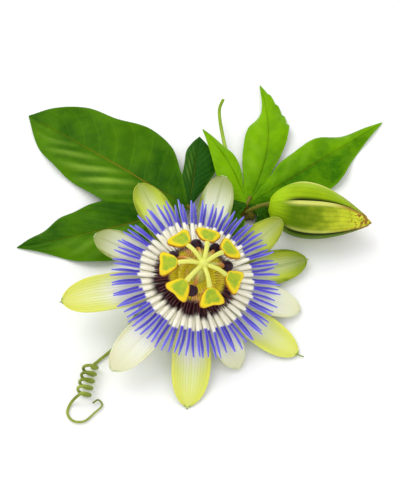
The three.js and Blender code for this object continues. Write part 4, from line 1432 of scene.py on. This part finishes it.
def bract_point(u, v):
    point = profile_route(BRACT_RIB).point(u)
    half = BRACT_WIDTH / 2 * math.sin(math.pi * lerp(BRACT_ROOT, 1, u)) ** BRACT_BLUNTNESS
    across = 2 * v - 1
    turn = half * across / max(point.x, half)
    frill = BRACT_FRILL * math.sin(BRACT_FRILL_RATE * u) * across ** 2
    return Vector((point.x * math.cos(turn), point.x * math.sin(turn), point.z + frill))


class SPRIG_OT_cup(bpy.types.Operator):
    """Models the cup under the bloom with its stalk, and the three bracts round it"""

    bl_idname = "sprig.cup"
    bl_label = "Cup, stalk and bracts"

    def execute(self, context):
        sizes = settings()
        cup = moved(lathed("cup", CUP_PROFILE, steps=40, sides=48), TO_SPRIG)
        neck = [TO_SPRIG @ Vector((0, 0, CUP_BOTTOM + rise)) for rise in NECK_RISES]
        radius = mm(sizes.stalk_radius)

        def ribbed(share, turn):
            return radius * (RIBBED_RADIUS + STALK_RIB_HEIGHT * math.cos(RIBS * turn))

        stalk = tube("stalk", Route([*neck, *STALK_TURN]), steps=60, sides=14, radius=ribbed)
        look = stem_look("vine", "sepal_back")
        piece = joined("bloom_cup_and_stalk", [dressed(cup, look), dressed(stalk, look)])
        settled(smoothed(piece), "cup", "bloom_stalk")
        for i, angle in enumerate(BRACT_ANGLES, 1):
            name = f"bract_{i}_blade"
            bract = welded(shaped_grid(name, columns=16, rows=12, place=bract_point), closed=False)
            dressed(bract, tepal_back_look("sepal_back", "sepal_vein"))
            thickened(bract, sizes.bract_thickness)
            settled(smoothed(moved(bract, TO_SPRIG @ turned(angle))), "bract", f"bract_{i}")
        return {"FINISHED"}


def bud_radius(share):
    return BUD_RADIUS * math.sin(math.pi * lerp(BUD_BLUNTNESS, 1, share) ** BUD_SKEW) ** BUD_FULLNESS


def bud_point(share, turn, radius):
    along = BUD_TIP - BUD_BASE
    side = Vector((0, 0, 1)).cross(along).normalized()
    up = along.normalized().cross(side)
    return BUD_BASE + along * share + side * (radius * math.cos(turn)) + up * (radius * math.sin(turn))


def bud_seam(index, share):
    """A seam's place in degrees at a share of the bud's length, its side on top, and the reach of its painted
    shadow.
    """
    rounds, i = divmod(index, len(BUD_SEAMS))
    turn, twist, side, reach = BUD_SEAMS[i]
    return turn + 360 * rounds + twist * share ** 2, side, reach


def bud_sepal(index):
    """One closed sepal. A margin on top is rolled into a lip, and the other kind is tucked under."""
    end, inner, outer = BUD_SEPALS[index]
    shades = []

    def place(u, v):
        share = lerp(BUD_SEPAL_START, end, u)
        first, first_side, first_reach = bud_seam(index, share)
        last, last_side, last_reach = bud_seam(index + 1, share)
        across = 0.5 - 0.5 * math.cos(math.pi * v)
        turn = lerp(first - BUD_TUCK * (first_side < 0), last + BUD_TUCK * (last_side > 0), across)
        step = 0
        shade = 0
        margins = (turn - first, first_side, first_reach), (last - turn, -last_side, last_reach)
        # The tint: beside a margin on top, a pale lip that is partly a painted highlight; beside a tucked
        # margin, painted shadow
        for past, side, reach in margins:
            step += side * BUD_STEP * math.exp(-past / BUD_STEP_REACH)
            if side > 0:
                lip_reach = BUD_LIP_REACHES[past >= BUD_LIP_MIDDLE]
                lip = math.exp(-((past - BUD_LIP_MIDDLE) / lip_reach) ** 2)
                step += BUD_LIP_HEIGHT * lip - BUD_EDGE_DEPTH * math.exp(-past / BUD_EDGE_REACH)
                shade += lip * (BUD_TINT_REACH / reach)
            else:
                shade -= math.exp(-(past / reach) ** 2) if past > 0 else 1
        fold = smoothstep(*BUD_FOLDS_FROM, share)
        rags = noise.noise(Vector((BUD_RAGS * across, index, 0)))
        ragged = BUD_RAGGEDNESS * rags * smoothstep(BUD_RAGGED_FROM, 1, u)
        shades.append(shade * fold)
        radius = bud_radius(share) * BUD_SHEET * (1 + fold * step)
        return bud_point(share + ragged / BUD_LENGTH, math.radians(turn), radius)

    sheet = shaped_grid(f"bud_sepal_{index}", columns=52, rows=44, place=place)
    stored(sheet, TINT, shades)
    return dressed(thickened(welded(sheet, closed=False), settings().bud_wall), bud_look(inner, outer))


def bud_horn(index):
    """The small pointed awn near the end of a closed sepal."""
    end = BUD_SEPALS[index][0]
    path = []
    for before, factor, rise in BUD_AWN:
        share = end - before
        turn = (bud_seam(index, share)[0] + bud_seam(index + 1, share)[0]) / 2
        path.append(bud_point(share, math.radians(turn), bud_radius(share) * factor + rise))

    def thickness(share, turn):
        return BUD_AWN_RADIUS * (1 - BUD_AWN_TAPER * share)

    return tube("bud_horn", Route(path), steps=12, sides=6, radius=thickness)


class SPRIG_OT_bud(bpy.types.Operator):
    """Models the closed bud from five overlapping sepals, with its stalk"""

    bl_idname = "sprig.bud"
    bl_label = "Bud"

    def execute(self, context):
        sizes = settings()
        look = bud_look("bud", "bud")

        def heart_point(u, v):
            share = lerp(*BUD_ENDS, u)
            return bud_point(share, 2 * math.pi * v, 0 if u in (0, 1) else bud_radius(share) * BUD_HEART)

        heart = welded(shaped_grid("bud_heart", columns=24, rows=24, place=heart_point))
        parts = [dressed(heart, look)]
        parts += [bud_sepal(i) for i in range(len(BUD_SEAMS))]
        parts += [dressed(bud_horn(i), look) for i in range(len(BUD_SEAMS))]
        radius = mm(sizes.bud_stalk_radius)

        def flared(share, turn):
            return radius * (1 + BUD_STALK_FLARE * smoothstep(BUD_STALK_FLARES_FROM, 1, share))

        stalk = tube("bud_stalk", Route(BUD_STALK), steps=30, sides=10, radius=flared)
        parts.append(dressed(stalk, stem_look("vine_dark", "vine")))
        settled(smoothed(joined("bud_and_stalk", parts), sharp_degrees=40), "bud", "bud")
        return {"FINISHED"}


def margin_line(base, notch, tip, edge, sign, tooth=0):
    """One margin of a lobe as a function of the share of its length: to the notch, then along the edge, where
    small teeth may point forwards.
    """
    along = tip - base
    left = Vector((-along.y, along.x, 0)).normalized()
    bends = []
    for share, out in edge:
        point = base + along * share + left * (sign * out)
        point.z = lerp(notch.z, tip.z, share)
        bends.append(point)
    route = Route([notch, *bends, tip])
    wave = mm(settings().leaf_wave) * min(1, (tip - base).length / FULL_WAVE_LENGTH) ** WAVE_FADE

    def at(share):
        if share <= NOTCH_SHARE:
            return base.lerp(notch, share / NOTCH_SHARE)
        past = (share - NOTCH_SHARE) / (1 - NOTCH_SHARE)
        point = route.point(past)
        point.z += wave * math.sin(past * HALF_WAVES * math.pi) * math.sin(past * math.pi)
        toothed = smoothstep(*TEETH_FROM, past) * (1 - smoothstep(*TEETH_TO, past))
        return point + left * (sign * tooth * toothed * (past * TEETH % 1))

    return at


def lobe(name, base, form, left_notch, right_notch):
    """One lobe of a leaf, folded along its midrib and swollen between its side veins."""
    tip = Vector(form.tip)
    along = tip - base
    aside = Vector((-along.y, along.x, 0)).normalized()
    left = margin_line(base, left_notch, tip, form.left, 1)
    right = margin_line(base, right_notch, tip, form.right, -1, form.tooth)
    quilt = mm(settings().leaf_quilt)
    height = mm(settings().leaf_swell)
    swells = []

    def place(u, v):
        hump = math.sin(math.pi * u)
        rib = base + along * u - aside * (form.bow * hump)
        rib.z += (LOBE_ARCH - LOBE_FOLD) * hump
        across = 2 * v - 1
        outwards = abs(across)
        edge = left(u) if across > 0 else right(u)
        point = rib.lerp(edge, outwards)
        point.z += 2 * LOBE_FOLD * hump * outwards * (1 - outwards)
        arch = math.sin(math.pi * outwards)
        swelling = 0.5 - 0.5 * math.cos(2 * math.pi * SIDE_VEINS * (u - SIDE_VEIN_SLANT * outwards))
        point.z += quilt * swelling * arch * hump
        wave = 0.5 - 0.5 * math.cos(2 * math.pi * SWELLS * (u - SWELL_SLANT * outwards))
        crest = form.swell * wave * arch * smoothstep(*SWELLS_FROM, u) * (1 - u * u) * (across > 0)
        point.z += height * crest
        # The crests are kept for the leaf's painted highlight as well
        swells.append(crest)
        return point

    sheet = shaped_grid(name, columns=77, rows=20, place=place)
    return tinted(stored(sheet, SWELL, swells), form.shade)


def leaf(name, form, stalk_path, look):
    base = Vector(form.base)
    notches = [Vector(notch) for notch in form.notches]
    lobes = [lobe(name, base, part, notches[i], notches[i + 1]) for i, part in enumerate(form.lobes)]
    blade = welded(joined(name, lobes), closed=False)
    dressed(blade, look, leaf_back_look())
    thickened(blade, settings().leaf_thickness, back=1)
    radius = mm(settings().leaf_stalk_radius)

    def footed(share, turn):
        return radius * (1 + LEAF_STALK_FOOT * (1 - smoothstep(0, LEAF_STALK_FOOT_REACH, share)))

    stalk = tube(name, Route(stalk_path), steps=24, sides=12, radius=footed)
    dressed(stalk, stem_look("vine", "vine_dark"))
    return smoothed(joined(name, [blade, stalk]))


class SPRIG_OT_leaves(bpy.types.Operator):
    """Models the two palmate leaves with their stalks"""

    bl_idname = "sprig.leaves"
    bl_label = "Leaves"

    def execute(self, context):
        old = leaf_look("old_leaf", "old_leaf_light", "old_rib")
        young = leaf_look("young_leaf", "young_leaf_light", "young_rib")
        settled(leaf("leaf_left_blade", LEFT_LEAF, LEFT_LEAF_STALK, old), "leaf", "leaf_left")
        settled(leaf("leaf_right_blade", RIGHT_LEAF, RIGHT_LEAF_STALK, young), "leaf", "leaf_right")
        return {"FINISHED"}


class SPRIG_OT_vine(bpy.types.Operator):
    """Models the piece of vine with its two joints and cut ends"""

    bl_idname = "sprig.vine"
    bl_label = "Vine"

    def execute(self, context):
        sizes = settings()
        route = Route(VINE)
        radius, swelling = mm(sizes.vine_radius), mm(sizes.joint_swelling)
        joints = [route.share_near(place) for place in (FIRST_JOINT, SECOND_JOINT)]

        def thickness(share, turn):
            bulge = sum(math.exp(-((share - joint) / JOINT_REACH) ** 2) for joint in joints)
            return radius * (RIBBED_RADIUS + VINE_RIB_HEIGHT * math.cos(RIBS * turn)) + swelling * bulge

        cane = tube("vine_cane", route, steps=80, sides=20, radius=thickness)
        dressed(cane, stem_look("vine", "vine_dark", "pith"))
        settled(smoothed(cane), "vine", "vine")
        return {"FINISHED"}


def coil_points():
    along = COIL_END - COIL_START
    side = Vector((0, 0, 1)).cross(along).normalized()
    up = along.normalized().cross(side)
    count = round(COIL_TURNS * COIL_POINTS_PER_TURN)
    for i in range(count + 1):
        turn = 2 * math.pi * i / COIL_POINTS_PER_TURN - math.pi / 2
        centre = COIL_START + along * (i / count)
        yield centre + side * (COIL_RADIUS * math.cos(turn)) + up * (COIL_RADIUS * math.sin(turn))


class SPRIG_OT_tendrils(bpy.types.Operator):
    """Models the long coiled tendril and the straight young one"""

    bl_idname = "sprig.tendrils"
    bl_label = "Tendrils"

    def execute(self, context):
        sizes = settings()
        radius = mm(sizes.tendril_radius)
        young_radius = mm(sizes.young_tendril_radius)

        def narrowing(share, turn):
            return radius * (1 - TENDRIL_TAPER * smoothstep(TENDRIL_TAPERS_FROM, 1, share))

        def tapered(share, turn):
            return young_radius * (1 - YOUNG_TENDRIL_TAPER * share)

        route = Route([*COILED_TENDRIL_START, *coil_points(), *COILED_TENDRIL_END])
        coiled = tube("tendril_coiled_line", route, steps=420, sides=10, radius=narrowing)
        dressed(coiled, stem_look("tendril", "tendril_dark"))
        settled(smoothed(coiled), "tendril", "tendril_coiled")
        young = tube("tendril_young_line", Route(YOUNG_TENDRIL), steps=60, sides=10, radius=tapered)
        dressed(young, stem_look("young_tendril", "young_tendril_dark"))
        settled(smoothed(young), "tendril", "tendril_young")
        return {"FINISHED"}


class SPRIG_OT_stage(bpy.types.Operator):
    """Sets up the table top, the soft lights and the camera"""

    bl_idname = "sprig.stage"
    bl_label = "Stage"

    def execute(self, context):
        stage = context.scene.sprig_stage
        bpy.ops.mesh.primitive_plane_add(size=stage.floor_side, location=(0, 0, TABLE))
        floor = bpy.context.object
        floor.name = "floor"
        dressed(floor, floor_look())
        self.light("key_light", *KEY_LIGHT, stage.key_power)
        self.light("fill_light", *FILL_LIGHT, stage.fill_power)
        world = bpy.data.worlds.new("soft_sky")
        world.use_nodes = True
        sky = world.node_tree.nodes["Background"].inputs
        sky["Color"].default_value = (1, 1, 1, 1)
        sky["Strength"].default_value = stage.sky
        context.scene.world = world
        context.scene.view_settings.view_transform = "Standard"
        away = Vector((0, -math.cos(CAMERA_ELEVATION), math.sin(CAMERA_ELEVATION)))
        bpy.ops.object.camera_add(location=(CAMERA_TARGET + away * CAMERA_DISTANCE) * MM)
        camera = bpy.context.object
        camera.rotation_euler = away.to_track_quat("Z", "Y").to_euler()
        camera.data.lens = stage.lens
        camera.data.clip_start = CAMERA_CLIP_M
        context.scene.camera = camera
        return {"FINISHED"}

    @staticmethod
    def light(name, place, side, power):
        bpy.ops.object.light_add(type="AREA", location=place)
        lamp = bpy.context.object
        lamp.name = name
        lamp.data.shape = "SQUARE"
        lamp.data.size = side
        lamp.data.energy = power
        lamp.rotation_euler = Vector(place).to_track_quat("Z", "Y").to_euler()


OPERATORS = (
    SPRIG_OT_tepals, SPRIG_OT_crown, SPRIG_OT_centre, SPRIG_OT_cup, SPRIG_OT_bud, SPRIG_OT_leaves,
    SPRIG_OT_vine, SPRIG_OT_tendrils, SPRIG_OT_stage,
)


class SPRIG_PT_panel(bpy.types.Panel):
    """Offers a button for each step of the sprig in the 3D view's sidebar"""

    bl_idname = "SPRIG_PT_panel"
    bl_label = "Passion flower sprig"
    bl_space_type = "VIEW_3D"
    bl_region_type = "UI"
    bl_category = "Sprig"

    def draw(self, context):
        for operator in OPERATORS:
            self.layout.operator(operator.bl_idname)


CLASSES = (SprigColours, SprigSizes, SprigStage, *OPERATORS, SPRIG_PT_panel)


def register():
    for each in CLASSES:
        bpy.utils.register_class(each)
    bpy.types.Scene.sprig_colours = bpy.props.PointerProperty(type=SprigColours)
    bpy.types.Scene.sprig_sizes = bpy.props.PointerProperty(type=SprigSizes)
    bpy.types.Scene.sprig_stage = bpy.props.PointerProperty(type=SprigStage)


def unregister():
    del bpy.types.Scene.sprig_stage
    del bpy.types.Scene.sprig_sizes
    del bpy.types.Scene.sprig_colours
    for each in reversed(CLASSES):
        bpy.utils.unregister_class(each)


def main():
    register()
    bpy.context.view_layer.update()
    bpy.ops.object.select_all(action="DESELECT")
    bpy.ops.sprig.tepals()
    bpy.ops.sprig.crown()
    bpy.ops.sprig.centre()
    bpy.ops.sprig.cup()
    bpy.ops.sprig.bud()
    bpy.ops.sprig.leaves()
    bpy.ops.sprig.vine()
    bpy.ops.sprig.tendrils()
    bpy.ops.sprig.stage()


if __name__ == "__main__":
    main()
